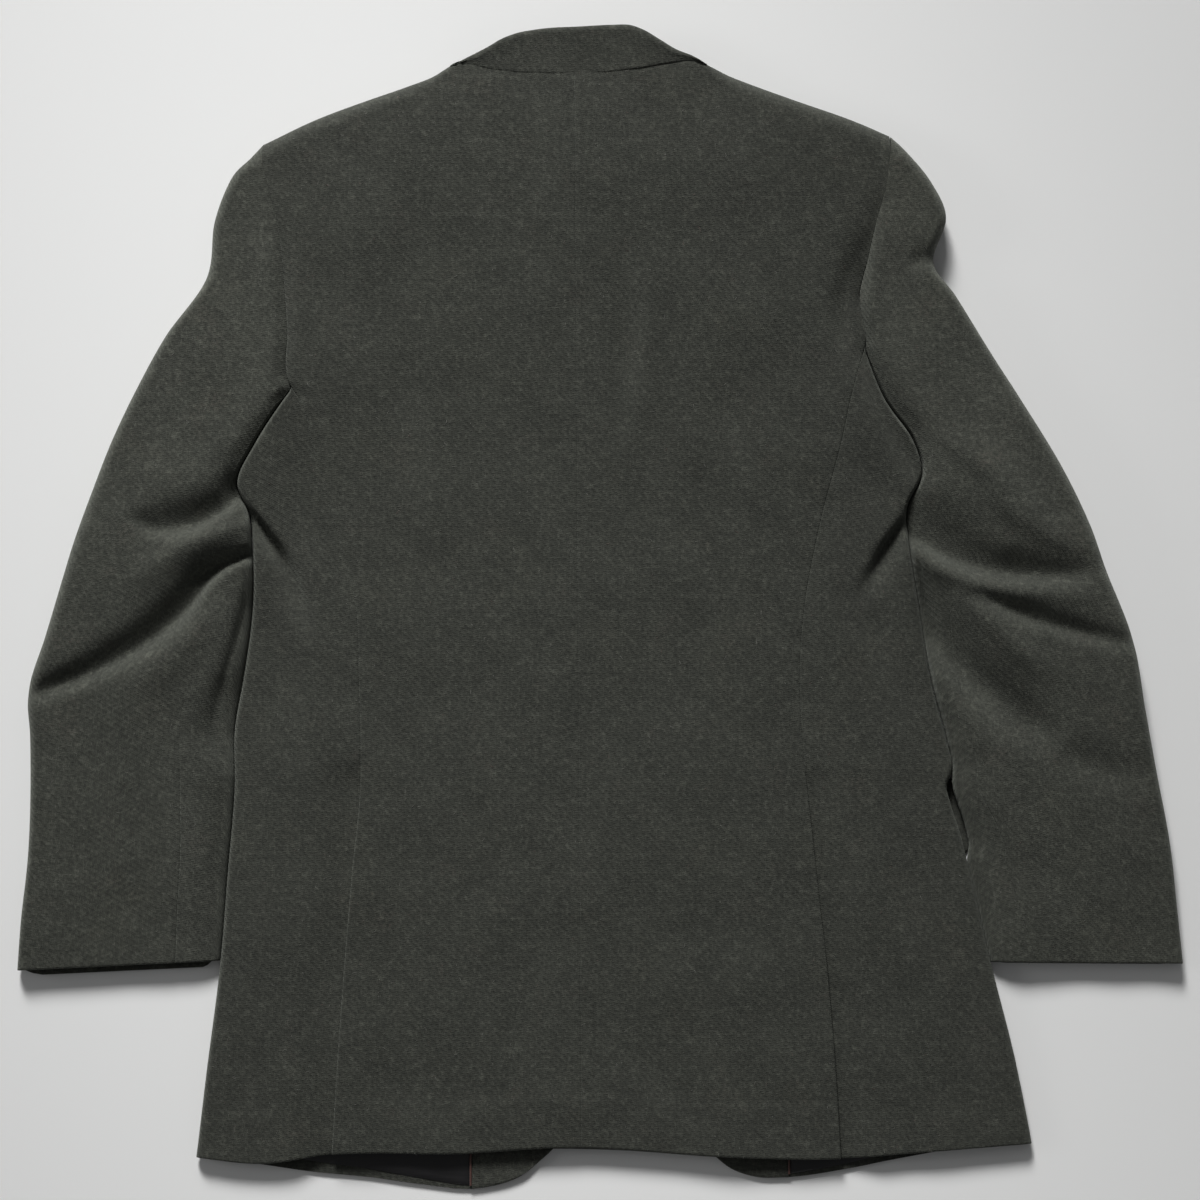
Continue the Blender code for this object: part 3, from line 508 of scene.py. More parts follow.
def addPiece(name, points, faces, flat, material, sharpest=60):
    # A mesh from points and faces, with its UV map, material and body
    mesh = bpy.data.meshes.new(name)
    mesh.from_pydata(points.tolist(), [], faces)
    uvMap = mesh.uv_layers.new(name="cut")
    corners = np.zeros(len(mesh.loops), np.int32)
    mesh.loops.foreach_get("vertex_index", corners)
    uvMap.uv.foreach_set("vector", flat[corners].astype(np.float32).ravel())
    mesh.shade_smooth()
    mesh.set_sharp_from_angle(angle=np.radians(sharpest))
    mesh.materials.append(material)
    piece = bpy.data.objects.new(name, mesh)
    scene.collection.objects.link(piece)
    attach(piece, "root")
    triangles = sum(len(face) - 2 for face in faces)
    print(f"{name}: {triangles} triangles, {areaOf(piece):.4f} square metres a side")
    return piece


def areaOf(piece):
    # Area of one side of a closed wall
    return sum(p.area for p in piece.data.polygons) / 2


def standIn(solid):
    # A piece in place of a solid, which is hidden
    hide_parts(solid)


# Node helpers, then the patterns of tweed, satin, fibres and horn


def newGroup(name, labels):
    # A group that takes coordinates and the named colours, of which Yarn is a number in millimetres
    group = bpy.data.node_groups.new(name, "ShaderNodeTree")
    kinds = {"Vector": "NodeSocketVector", "Yarn": "NodeSocketFloat"}
    for label in labels.split():
        kind = kinds.get(label, "NodeSocketColor")
        group.interface.new_socket(label, in_out="INPUT", socket_type=kind)
    return group, group.nodes.new("NodeGroupInput").outputs


def finishGroup(group, colour, roughness, height):
    # What every group gives: a colour, a roughness and a height
    given = {"Color": colour, "Roughness": roughness, "Height": height}
    for label in given:
        kind = "NodeSocketColor" if label == "Color" else "NodeSocketFloat"
        group.interface.new_socket(label, in_out="OUTPUT", socket_type=kind)
    result = group.nodes.new("NodeGroupOutput")
    for label, socket in given.items():
        group.links.new(socket, result.inputs[label])
    return group


def node(tree, kind, settings=None, **inputs):
    # A node with its settings, and with its sockets set to values or linked from other nodes' sockets
    made = tree.nodes.new(kind)
    for key, value in (settings or {}).items():
        setattr(made, key, value)
    for key, value in inputs.items():
        numbered = key[0] == "i" and key[1:].isdigit()
        socket = made.inputs[int(key[1:]) if numbered else key]
        if isinstance(value, bpy.types.NodeSocket):
            tree.links.new(value, socket)
        else:
            socket.default_value = value
    return made


def maths(tree, operation, first, second=0.0, third=0.0, clamp=False):
    settings = {"operation": operation, "use_clamp": clamp}
    return node(tree, "ShaderNodeMath", settings, i0=first, i1=second, i2=third).outputs[0]


def sumOf(tree, total, parts):
    # The total with each part added to it, times the part's weight
    for part, weight in parts:
        total = maths(tree, "MULTIPLY_ADD", part, weight, total)
    return total


def ramp(tree, value, low, high, toLow=0.0, toHigh=1.0):
    # Smooth step of a value from low to high
    settings, given = {"interpolation_type": "SMOOTHSTEP"}, {"i1": low, "i2": high, "i3": toLow, "i4": toHigh}
    return node(tree, "ShaderNodeMapRange", settings, i0=value, **given).outputs[0]


def noise(tree, vector, scale, detail=2.0, roughness=0.5, stretch=(1, 1, 1)):
    # Noise on coordinates in metres, so a scale of 1000 gives features about 1 mm across
    at = node(tree, "ShaderNodeVectorMath", {"operation": "MULTIPLY"}, i0=vector, i1=stretch).outputs[0]
    made = node(tree, "ShaderNodeTexNoise", None, Vector=at, Scale=scale, Detail=detail, Roughness=roughness)
    return made.outputs["Fac"]


def mixColour(tree, share, first, second):
    return node(tree, "ShaderNodeMix", {"data_type": "RGBA"}, i0=share, i6=first, i7=second).outputs[2]


def wavered(tree, vector, scale, reach):
    # Coordinates moved about by noise, by up to half of the reach in metres
    waver = node(tree, "ShaderNodeTexNoise", None, Vector=vector, Scale=scale, Detail=2.0).outputs["Color"]
    for operation, values in (
        ("SUBTRACT", {"i1": (0.5, 0.5, 0.5)}),
        ("SCALE", {"Scale": reach}),
        ("ADD", {"i1": vector}),
    ):
        waver = node(tree, "ShaderNodeVectorMath", {"operation": operation}, i0=waver, **values).outputs[0]
    return waver


tweedLook = {
    "yarn": 1.15,
    "ground": 0.17,  # tone between the flecks, from the dark yarn's 0 to the light one's 1
    "mottle": 1.05,
    "fleck": 0.25,
    "dark": (0.0190, 0.0202, 0.0164),
    "light": (0.0740, 0.0770, 0.0630),
    "olive": (0.0860, 0.0850, 0.0560),
    "rust": (0.0760, 0.0580, 0.0520),
    "speck": (0.24, 0.235, 0.215),
    "shader": {
        "Specular IOR Level": 0.25,
        "Sheen Weight": 0.18,
        "Sheen Roughness": 0.6,
        "Sheen Tint": (0.82, 0.86, 0.76, 1),
    },
}


def makeWeaveGroup():
    # Heathered wool: a wavering twill of yarns, light flecks along and across it, curled wisps, knots of
    # lighter wool, and clouds of tone, olive and rust
    group, given = newGroup("heatherWeave", "Vector Yarn Dark Light Olive Rust Speck")
    at = given["Vector"]
    moved = wavered(group, at, 170.0, 0.0016)
    curled = wavered(group, at, 120.0, 0.011)
    parts = node(group, "ShaderNodeSeparateXYZ", None, Vector=moved)
    pitch = maths(group, "MULTIPLY", given["Yarn"], mm)
    warp, weft = (maths(group, "DIVIDE", parts.outputs[axis], pitch) for axis in "XY")
    column, row = (maths(group, "FLOOR", run) for run in (warp, weft))
    step = maths(group, "FRACT", maths(group, "DIVIDE", maths(group, "ADD", column, row), 4.0))
    over = maths(group, "LESS_THAN", step, 0.5)
    turns = (maths(group, "MULTIPLY", run, np.pi) for run in (warp, weft))
    warpRound, weftRound = (maths(group, "ABSOLUTE", maths(group, "SINE", turn)) for turn in turns)
    yarns = node(group, "ShaderNodeMix", {"data_type": "FLOAT"}, i0=over, i2=weftRound, i3=warpRound)
    yarns = yarns.outputs[0]
    upFlecks = noise(group, moved, 600.0, 2.0, 0.5, (1.0, 0.26, 1.0))
    acrossFlecks = noise(group, moved, 600.0, 2.0, 0.5, (0.24, 1.0, 1.0))
    wisps = noise(group, curled, 420.0, 2.0, 0.5, (1.0, 0.30, 1.0))
    grain = noise(group, at, 1300.0, 2.0, 0.6)
    mottle = noise(group, at, 340.0, 2.0, 0.55)
    knots = noise(group, at, 150.0, 3.0, 0.6)
    clouds = noise(group, at, 34.0, 4.0, 0.6)
    uneven = ((grain, 0.5), (mottle, tweedLook["mottle"]), (clouds, 0.6))
    centred = [(maths(group, "SUBTRACT", part, 0.5), weight) for part, weight in uneven]
    tone = sumOf(group, tweedLook["ground"], centred)
    fleck = tweedLook["fleck"]
    marks = (
        (yarns, 0.16),
        (ramp(group, knots, 0.52, 0.70), 0.38),
        (ramp(group, upFlecks, 0.52, 0.70), fleck),
        (ramp(group, acrossFlecks, 0.52, 0.70), 1.2 * fleck),
        (ramp(group, wisps, 0.55, 0.72), 1.3 * fleck),
    )
    tone = maths(group, "ADD", sumOf(group, tone, marks), 0.0, clamp=True)
    colour = mixColour(group, tone, given["Dark"], given["Light"])
    olive = ramp(group, noise(group, at, 15.0, 3.0, 0.55), 0.50, 0.72, 0.0, 0.12)
    colour = mixColour(group, maths(group, "MULTIPLY", olive, tone), colour, given["Olive"])
    rusty = ramp(group, noise(group, moved, 30.0, 4.0, 0.65), 0.53, 0.76, 0.0, 0.22)
    rusty = maths(group, "MULTIPLY", rusty, ramp(group, mottle, 0.42, 0.62))
    colour = mixColour(group, rusty, colour, given["Rust"])
    speck = maths(group, "MULTIPLY", ramp(group, grain, 0.66, 0.74), ramp(group, knots, 0.56, 0.68, 0.0, 0.5))
    colour = mixColour(group, speck, colour, given["Speck"])
    height = sumOf(group, yarns, ((grain, 0.8), (upFlecks, 0.9), (acrossFlecks, 0.9), (wisps, 0.8)))
    return finishGroup(group, colour, maths(group, "MULTIPLY_ADD", grain, 0.16, 0.82), height)


def makeMaterial(name, group, values, bump, distance, shaderValues):
    # Material on a piece's own UV map: a group gives colour, roughness and height, the shader keeps its
    # constants. Values are the group's: colours in red, green and blue, or numbers
    made = bpy.data.materials.new(name)
    made.use_nodes = True
    tree = made.node_tree
    shader = tree.nodes["Principled BSDF"]
    at = node(tree, "ShaderNodeUVMap", {"uv_map": "cut"}).outputs[0]
    values = {key: (*value, 1) if isinstance(value, tuple) else value for key, value in values.items()}
    pattern = node(tree, "ShaderNodeGroup", {"node_tree": group}, Vector=at, **values).outputs
    relief = node(tree, "ShaderNodeBump", None, Strength=bump, Distance=distance, Height=pattern["Height"])
    for label, socket in (
        ("Base Color", pattern["Color"]),
        ("Roughness", pattern["Roughness"]),
        ("Normal", relief.outputs["Normal"]),
    ):
        tree.links.new(socket, shader.inputs[label])
    for key, value in shaderValues.items():
        shader.inputs[key].default_value = value
    return made


def tweedMaterial(name, group, tone):
    # Tweed, with its colours scaled by a tone: the lighter copy for the sleeves is painted light and sheen,
    # the darker copy for the pieces underneath is painted shade
    values = {"Yarn": tweedLook["yarn"]}
    for key in ("dark", "light", "olive", "rust", "speck"):
        values[key.title()] = tuple(tone * c for c in tweedLook[key])
    return makeMaterial(name, group, values, 0.5, 0.0005, tweedLook["shader"])


def makeSatinGroup():
    # Lining: fine ribs across, faint slubs and a soft cloud of tone
    group, given = newGroup("satinWeave", "Vector Dark Light")
    at = given["Vector"]
    slubs = noise(group, at, 500.0, 3.0, 0.6, (0.12, 1.6, 1.0))
    clouds = noise(group, at, 40.0, 3.0, 0.5)
    cloudy = maths(group, "MULTIPLY_ADD", clouds, 0.8, -0.3)
    tone = maths(group, "MULTIPLY_ADD", slubs, 0.8, cloudy, clamp=True)
    colour = mixColour(group, tone, given["Dark"], given["Light"])
    parts = node(group, "ShaderNodeSeparateXYZ", None, Vector=at)
    ribs = maths(group, "SINE", maths(group, "MULTIPLY", parts.outputs["Y"], 2 * np.pi / 0.0006))
    rough = maths(group, "MULTIPLY_ADD", slubs, 0.3, 0.22)
    return finishGroup(group, colour, rough, maths(group, "MULTIPLY_ADD", ribs, 0.2, slubs))


def makeFibreGroup():
    # Fibres: each place has its own tone from dark to light, and a few are rust
    group, given = newGroup("fibreTone", "Vector Dark Light Rust")
    at = given["Vector"]
    tone = ramp(group, noise(group, at, 190.0, 2.0, 0.6), 0.40, 0.66)
    colour = mixColour(group, tone, given["Dark"], given["Light"])
    rusty = ramp(group, noise(group, at, 120.0, 2.0, 0.5), 0.58, 0.66, 0.0, 0.8)
    colour = mixColour(group, rusty, colour, given["Rust"])
    grain = noise(group, at, 2500.0, 2.0, 0.5)
    return finishGroup(group, colour, maths(group, "MULTIPLY_ADD", grain, 0.2, 0.7), grain)


def makeHornGroup():
    # Horn: dark and brown layers bent by noise, with fine scratches
    group, given = newGroup("hornGrain", "Vector Dark Light")
    at = given["Vector"]
    layers = noise(group, at, 170.0, 4.0, 0.6, (0.4, 1.5, 1.0))
    scratches = noise(group, at, 2600.0, 2.0, 0.6, (0.08, 1.0, 1.0))
    colour = mixColour(group, ramp(group, layers, 0.42, 0.70), given["Dark"], given["Light"])
    return finishGroup(group, colour, maths(group, "MULTIPLY_ADD", scratches, 0.25, 0.22), scratches)


weaveGroup, satinGroup = makeWeaveGroup(), makeSatinGroup()
tweed = tweedMaterial("tweed", weaveGroup, 0.80)
# The same cloth as the body, made lighter: painted light and sheen on the sleeves
tweedSleevePaintedLight = tweedMaterial("tweedSleevePaintedLight", weaveGroup, 1.02)
# The same cloth as the body, made darker for the pieces that lie underneath: painted shade
tweedPaintedShadeUnder = tweedMaterial("tweedPaintedShadeUnderside", weaveGroup, 0.76)
lining = makeMaterial(
    "lining",
    satinGroup,
    {"Dark": (0.0075, 0.0073, 0.0078), "Light": (0.0165, 0.0158, 0.0165)},
    0.3,
    0.0001,
    {"Specular IOR Level": 0.45, "Sheen Weight": 0.1, "Sheen Roughness": 0.3},
)
pipingCloth = makeMaterial(
    "piping",
    satinGroup,
    {"Dark": (0.045, 0.020, 0.017), "Light": (0.10, 0.05, 0.042)},
    0.3,
    0.0001,
    {"Specular IOR Level": 0.3, "Sheen Weight": 0.1},
)
fibre = makeMaterial(
    "fibre",
    makeFibreGroup(),
    {"Dark": (0.055, 0.056, 0.047), "Light": (0.155, 0.155, 0.138), "Rust": (0.09, 0.062, 0.052)},
    0.2,
    0.0001,
    {"Specular IOR Level": 0.3, "Sheen Weight": 0.2},
)
horn = makeMaterial(
    "horn",
    makeHornGroup(),
    {"Dark": (0.012, 0.008, 0.006), "Light": (0.085, 0.052, 0.030)},
    0.15,
    0.00005,
    {"Specular IOR Level": 0.5, "Coat Weight": 0.25, "Coat Roughness": 0.15},
)
print("materials ready")


# Back panels

back = {
    "centreHem": (-13.0, -389.9),
    "centreNeck": -18.0,
    "centreDip": (2.6, 0.22),  # reach and depth of the soft fall into a seam
    "centreRoll": (0.9, 0.22),  # and of the tight one
    "sideDip": (4.0, 0.35),
    "sideRoll": (1.3, 0.55),
    "ventRoll": (1.6, 1.1),
    "ventLift": (0.7, 14.0, 27.0),  # how far the vent's edge lifts, how it fades inward and its waves
    "ventTop": (-127.0, 30.0),  # where the vent starts, and over what length it opens
    "hemRoll": (1.4, 1.5),
    "hemTurn": (40.0, 0.5),  # the hem's turned-up cloth: its height and how far it stands proud
    "shoulderTurns": 8,
    "patch": (710.0, 205.0),  # length and width that the grid is spaced for
    "flat": {"left": (0.235, 0.80, 0.143), "right": (0.235, 0.80, 0.147)},
}


def topPoints(x):
    # Where the flat part of a panel ends under the rounded shoulder
    reach = np.interp(x, topLine["x"], topLine["round"])
    return np.stack([x, through(x, topLine["x"], topLine["y"]) - reach], -1)


def shoulderRows(grid, levels, inward, seamShift, count):
    # Rows that carry a panel over its rounded shoulder to the seam: a quarter ellipse
    x, y = grid[-1, :, 0], grid[-1, :, 1]
    reach = np.interp(x, topLine["x"], topLine["round"])
    rim = np.interp(x, topLine["x"], topLine["rim"]) * bodyHeight(x, y) + seamShift
    turn = (np.radians(90) * np.linspace(0, 1, count + 1)[1:])[:, None]
    rise = rim + (levels[-1] - rim) * np.cos(turn)
    outer = np.stack(np.broadcast_arrays(x, y + reach * np.sin(turn), rise), -1)
    shrink = 1 - wall / reach
    depth = (levels[-1] + inward * wall - rim) * np.cos(turn)
    inner = np.stack(np.broadcast_arrays(x, y + reach * shrink * np.sin(turn), rim + depth), -1)
    return outer, inner


def makeBack(side):
    # Patch between armhole, centre seam, hem and shoulder, lifted to the body's height
    sign = 1 if side == "left" else -1
    rows = gridShares(back["patch"][0], surface["topStep"], True, False)
    armTop = sleeves[side]["in_y"][0]
    y = np.linspace(np.interp(sides[side]["seam"][0], hem["x"], hem["y"]), armTop, 400)
    half = surface["seamGap"] / 2
    left = lineThrough(np.stack([seamX(side, y) + sign * half, y], -1), rows)
    neck = topPoints(np.array([back["centreNeck"] - sign * half]))[0]
    right = lineThrough([(back["centreHem"][0] - sign * half, back["centreHem"][1]), neck], rows)
    columns = gridShares(back["patch"][1], surface["topStep"])
    top = topPoints(left[-1, 0] + (right[-1, 0] - left[-1, 0]) * columns)
    left[-1] = top[0]
    hemX = left[0, 0] + (right[0, 0] - left[0, 0]) * columns
    bottom = np.stack([hemX, through(hemX, hem["x"], hem["y"])], -1)
    left[0], right[0], right[-1] = bottom[0], bottom[-1], top[-1]
    grid = coons(left, right, bottom, top, columns, rows)
    x, y = grid[..., 0], grid[..., 1]
    fromSeam, fromCentre = abs(x - left[:, None, 0]), abs(x - right[:, None, 0])
    fromHem = y - bottom[None, :, 1]
    levels = bodyHeight(x, y)
    start, over = back["ventTop"]
    vent = smooth((start - y) / over)
    lift, fade, wave = back["ventLift"]
    levels += lift * vent * np.exp(-fromSeam / fade) * (0.6 + 0.4 * np.sin(y / wave + sign))
    levels += back["hemTurn"][1] * smooth((back["hemTurn"][0] - fromHem) / 4)
    levels += pucker(y, fromSeam, 1.0 + sign) + 0.7 * pucker(y, fromCentre, 2.0)
    arm = smooth((y - sides[side]["y"][-1] + 4) / 12)
    armSoft, armTight = armholeFall(fromSeam, y)
    seamed = (1 - arm) * (1 - vent)
    levels -= dip(fromCentre, *back["centreDip"]) + arm * armSoft + seamed * dip(fromSeam, *back["sideDip"])
    base = levels.copy()
    levels -= roll(fromCentre, *back["centreRoll"]) + roll(fromHem, *back["hemRoll"]) + arm * armTight
    levels -= vent * roll(fromSeam, *back["ventRoll"]) + seamed * roll(fromSeam, *back["sideRoll"])
    over, under = shoulderRows(grid, levels, -1, 0.1, back["shoulderTurns"])
    shell = np.concatenate([raised(grid, levels), over])
    lower = np.concatenate([raised(grid, base - wall), under])
    piece = clothShell(f"back_{side}_cloth", shell, lower, tweed)
    standIn(f"back_{side}")


# Side panels, round the folded edge

sidePanel = {
    "ventUnderlap": 24.0,
    "underlapStart": 23.0,  # over what length the underlap starts
    "ventDrop": (wall + 0.6, 3.0, 30.0),  # how far it lies under the back, how far in, and where that ends
    "ventStart": -108.0,
    "ventTop": -127.0,
    "seamDip": (4.0, 0.35),
    "seamRoll": (1.3, 0.55),
    "hemRoll": (1.4, 1.5),
    "frontSeamOffset": 60.0,
    "frontSeamStart": (6.0, 13.0, 0.6),  # its least offset, its offset under the arm and how fast that grows
    "hemBlend": (-330.0, 64.0),  # where rows begin to follow the hem table, and over what length
    "reach": {  # how far in from its edge the cloth starts to turn down
        "left": table("y reach", (-396, 5), (-250, 4), (0, 4), (90, 3.4), (159, 3)),
        "right": table(
            "y reach",
            (-396, 6), (-250, 7), (-185, 7), (-160, 4.5), (-94, 4), (0, 4), (98, 3.4), (186, 3),
        ),
    },
    "rowStep": 4.0,
    "topShares": 27,
    "turns": 14,
    "bottomSteps": 10,
    "flat": {"left": (0.21, 0.56, 0.086), "right": (0.24, 0.58, 0.096)},
}


def wrapRows(top, levels, base, far, reach, bottom, low, thick=wall):
    # Rows round a folded edge and the wall's rows inside them: the top stretch, half an ellipse at the far
    # end and the bottom stretch. The base is the top's height before its edges are rolled
    direction = far - top[:, -1]
    direction = direction / np.maximum(np.linalg.norm(direction, axis=1, keepdims=True), 1e-9)
    centre = far - direction * reach[:, None]
    middle, half = (levels[:, -1] + low[:, 0]) / 2, (levels[:, -1] - low[:, 0]) / 2
    turn = np.pi * np.arange(1, sidePanel["turns"]) / sidePanel["turns"]
    rows = []
    for inset, high, deep in ((0.0, levels, low), (wall, base - thick, low + thick)):
        narrow = np.maximum(reach - inset, 0.2 * reach)
        plan = centre[:, None] + np.sin(turn)[None, :, None] * direction[:, None] * narrow[:, None, None]
        rise = middle[:, None] + np.cos(turn)[None] * (half - inset)[:, None]
        rows.append(np.concatenate([raised(top, high), raised(plan, rise), raised(bottom, deep)], 1))
    return rows


def frontSeamX(side, y):
    # Side-front seam, which meets the fold under the arm
    sign = 1 if side == "left" else -1
    least, atTop, slope = sidePanel["frontSeamStart"]
    inward = np.clip(atTop + slope * (sides[side]["y"][-1] - y), least, sidePanel["frontSeamOffset"])
    return edgeX(side, y) + sign * inward


def atHem(x, y, cutLine, share):
    # Points in plan, moved from the straight hem on to a cut line by a share
    return np.stack(np.broadcast_arrays(x, y + (through(x, cutLine["x"], cutLine["y"]) - hemY) * share), -1)


def makeSide(side):
    # From the side-back seam, with the vent's underlap, round the folded edge to the side-front seam
    sign = 1 if side == "left" else -1
    length = sleeves[side]["in_y"][backRows - 1] - 0.5 - hemY
    y = hemY + length * gridShares(length, sidePanel["rowStep"])
    half = surface["seamGap"] / 2
    seam, edge = seamX(side, y) - sign * half, edgeX(side, y)
    width = np.maximum(abs(seam - edge), 0.2)
    bend = sidePanel["reach"][side]
    reach = np.minimum(through(y, bend["y"], bend["reach"]), 0.6 * width)
    vent = smooth((sidePanel["ventStart"] - y) / (sidePanel["ventStart"] - sidePanel["ventTop"]))
    under = sidePanel["ventUnderlap"] * smooth((sidePanel["ventTop"] - y) / sidePanel["underlapStart"])
    last = edge + sign * reach
    near = np.array(surface["edgeSteps"])
    across = np.concatenate([[0.0], near / near[-1] * 0.08, np.linspace(0.08, 1, sidePanel["topShares"])[1:]])
    topX = seam[:, None] + across * (last - seam)[:, None]
    underlap = seam[:, None] + sign * under[:, None] * np.array([1.0, 0.75, 0.5, 0.25])
    topX = np.concatenate([underlap, topX], 1)
    start, over = sidePanel["hemBlend"]
    share = smooth((start - y) / over)
    top = atHem(topX, y[:, None], hem, share[:, None])
    topY = top[..., 1]
    levels = bodyHeight(topX, topY)
    beyond = sign * (seam[:, None] - topX)
    drop, full, fade = sidePanel["ventDrop"]
    levels -= drop * vent[:, None] * (1 - smooth((beyond - full) / fade))
    fromHem = topY - topY[:1]
    away = np.maximum(beyond, 0)
    levels += pucker(topY, away, 1.4 + sign) - dip(away, *sidePanel["seamDip"]) * (1 - vent[:, None])
    base = levels.copy()
    levels -= roll(away, *sidePanel["seamRoll"]) * (1 - vent[:, None]) + roll(fromHem, *sidePanel["hemRoll"])
    lowX = frontSeamX(side, y) - sign * half
    shares = np.linspace(0, 1, sidePanel["bottomSteps"])
    bottomX = last[:, None] + shares * (lowX - last)[:, None]
    bottom = atHem(bottomX, y[:, None], frontHem[side], share[:, None])
    low = liftOf(bottomX, bottom[..., 1])
    outer, inner = wrapRows(top, levels, base, atHem(edge, y, hem, share), reach, bottom, low)
    piece = clothShell(f"side_{side}_cloth", outer, inner, tweed)
    standIn(f"side_{side}")


# Fronts, underneath, longer than the back at the hem

front = {
    "facingWall": 1.5,
    "liningWall": 1.0,
    "length": 735.0,
    "nearHem": (0.0, 1.2, 3, 6, 10, 15, 21, 28, 36, 44, 52, 60),  # rows of the grid, up from the hem
    "shoulderTurns": 6,
    "pipingWidth": 1.6,
    "pipingColumns": 7,
    "hemRows": 60.0,  # how far up the facing and the lining are built
    "clear": 0.2,
    "partRoll": (1.5, 0.9),
    "flat": {"left": (0.29, 0.82, 0.166), "right": (0.27, 0.81, 0.139)},
}


def frontGrid(side):
    # Patch between the side seam and armhole, the hem, the shoulder and the free edge with its cutaway
    sign = 1 if side == "left" else -1
    near = np.array(front["nearHem"]) / front["length"]
    rows = np.concatenate([near, np.linspace(near[-1], 1, 96)[1:]])
    cut = np.stack([frontHem[side]["x"], frontHem[side]["y"]], -1)
    free = np.stack([frontEdge[side]["x"], frontEdge[side]["y"]], -1)
    whole = np.concatenate([cut, free[1:]])
    run = runOf(whole)
    corner = run[len(cut) - 1] / run[-1]
    armTop = sleeves[side]["in_y"][0]
    topY = sides[side]["y"][-1]
    y = np.concatenate([np.linspace(cut[0, 1], topY, 200), np.linspace(topY, armTop, 80)[1:]])
    leftX = np.where(y < topY, frontSeamX(side, y), seamX(side, y))
    left = lineThrough(np.stack([leftX + sign * 0.1, y], -1), rows)
    start = left[0, 0]
    cutShares = np.linspace(0, corner, 400)
    cutFine = lineThrough(whole, cutShares)
    order = np.argsort(cutFine[:, 0])
    width = cutFine[-1, 0] - start
    cutX = start + width * gridShares(abs(width), surface["underStep"], False, True)
    bottom = np.stack([cutX, np.interp(cutX, cutFine[order, 0], cutFine[order, 1])], -1)
    edgeFine = lineThrough(whole, np.linspace(corner, 1, 400))
    neck = topPoints(np.array([float(rollEnd[side][0])]))[0]
    edge = np.concatenate([edgeFine, np.linspace(edgeFine[-1], neck, 120)[1:]])
    length = runOf(edge)
    right = np.stack([np.interp(rows, length / length[-1], edge[:, i]) for i in range(2)], -1)
    columns = (cutX - cutX[0]) / (cutX[-1] - cutX[0])
    top = topPoints(left[-1, 0] + (right[-1, 0] - left[-1, 0]) * columns)
    left[0], left[-1], right[0], right[-1] = bottom[0], top[0], bottom[-1], top[-1]
    return coons(left, right, bottom, top, columns, rows)


def between(grid, first, last, count):
    # The same rows with evenly spaced columns between two places across
    shares = np.linspace(0, 1, count)
    x = first + np.zeros(len(grid))
    x = x[:, None] + shares * (last - x)[:, None]
    y = [np.interp(at, *row[np.argsort(row[:, 0])].T) for at, row in zip(x, grid)]
    return np.stack([x, np.array(y)], -1)


def makeFront(side):
    # The front's flat wall and shoulder, then the facing, the piping and the lining at its hem
    grid = frontGrid(side)
    x, y = grid[..., 0], grid[..., 1]
    levels = frontBase(side, x, y)
    over, under = shoulderRows(grid, levels, 1, -0.1, front["shoulderTurns"])
    shell = np.concatenate([raised(grid, levels), over])
    upper = np.concatenate([raised(grid, levels + wall), under])
    piece = clothShell(f"front_{side}_cloth", shell, upper, tweedPaintedShadeUnder)
    standIn(f"front_{side}")
    count = int(np.searchsorted(y[:, 0] - y[0, 0], front["hemRows"]))
    beside, hemGrid = pipingX[side], grid[:count]
    facing = between(hemGrid, beside, hemGrid[:, -1, 0], 26)
    inside = between(hemGrid[1:], hemGrid[1:, 2, 0], beside, 48)
    makePiping(side, hemGrid[1:], beside)
    parts = (
        ("facing", facing, front["facingWall"], tweed, "tweed"),
        ("lining", inside, front["liningWall"], lining, "lining"),
    )
    for name, plan, thick, material, slot in parts:
        x, y = plan[..., 0], plan[..., 1]
        base = frontBase(side, x, y) + wall + front["clear"]
        away = np.minimum(abs(x - x[:, -1:]), abs(x - x[:, :1]))
        away = np.minimum(away, abs(y - y[:1]))
        upper = base + thick - roll(away, *front["partRoll"]) + 0.25 * drape(x * 3, y * 3)
        made = clothShell(f"{name}_{side}_cloth", raised(plan, upper), raised(plan, base), material)
        standIn(f"{name}_{side}")


def makePiping(side, grid, beside):
    # A bead along the line where facing and lining meet: its rise is a half ellipse across
    bead, count = front["pipingWidth"] / 2, front["pipingColumns"]
    plan = between(grid, beside - bead, beside + bead, count)
    rise = frontBase(side, plan[..., 0], plan[..., 1]) + wall + front["facingWall"]
    arch = np.sqrt(1 - np.linspace(-0.97, 0.97, count) ** 2)
    upper, lower = (raised(plan, rise + lift) for lift in (0.9 * arch + 0.1, 0.1 - 0.4 * arch))
    clothShell(f"piping_{side}", upper, lower, pipingCloth)


# Sleeves: an upper piece round the outer edge and an under piece round the inner one

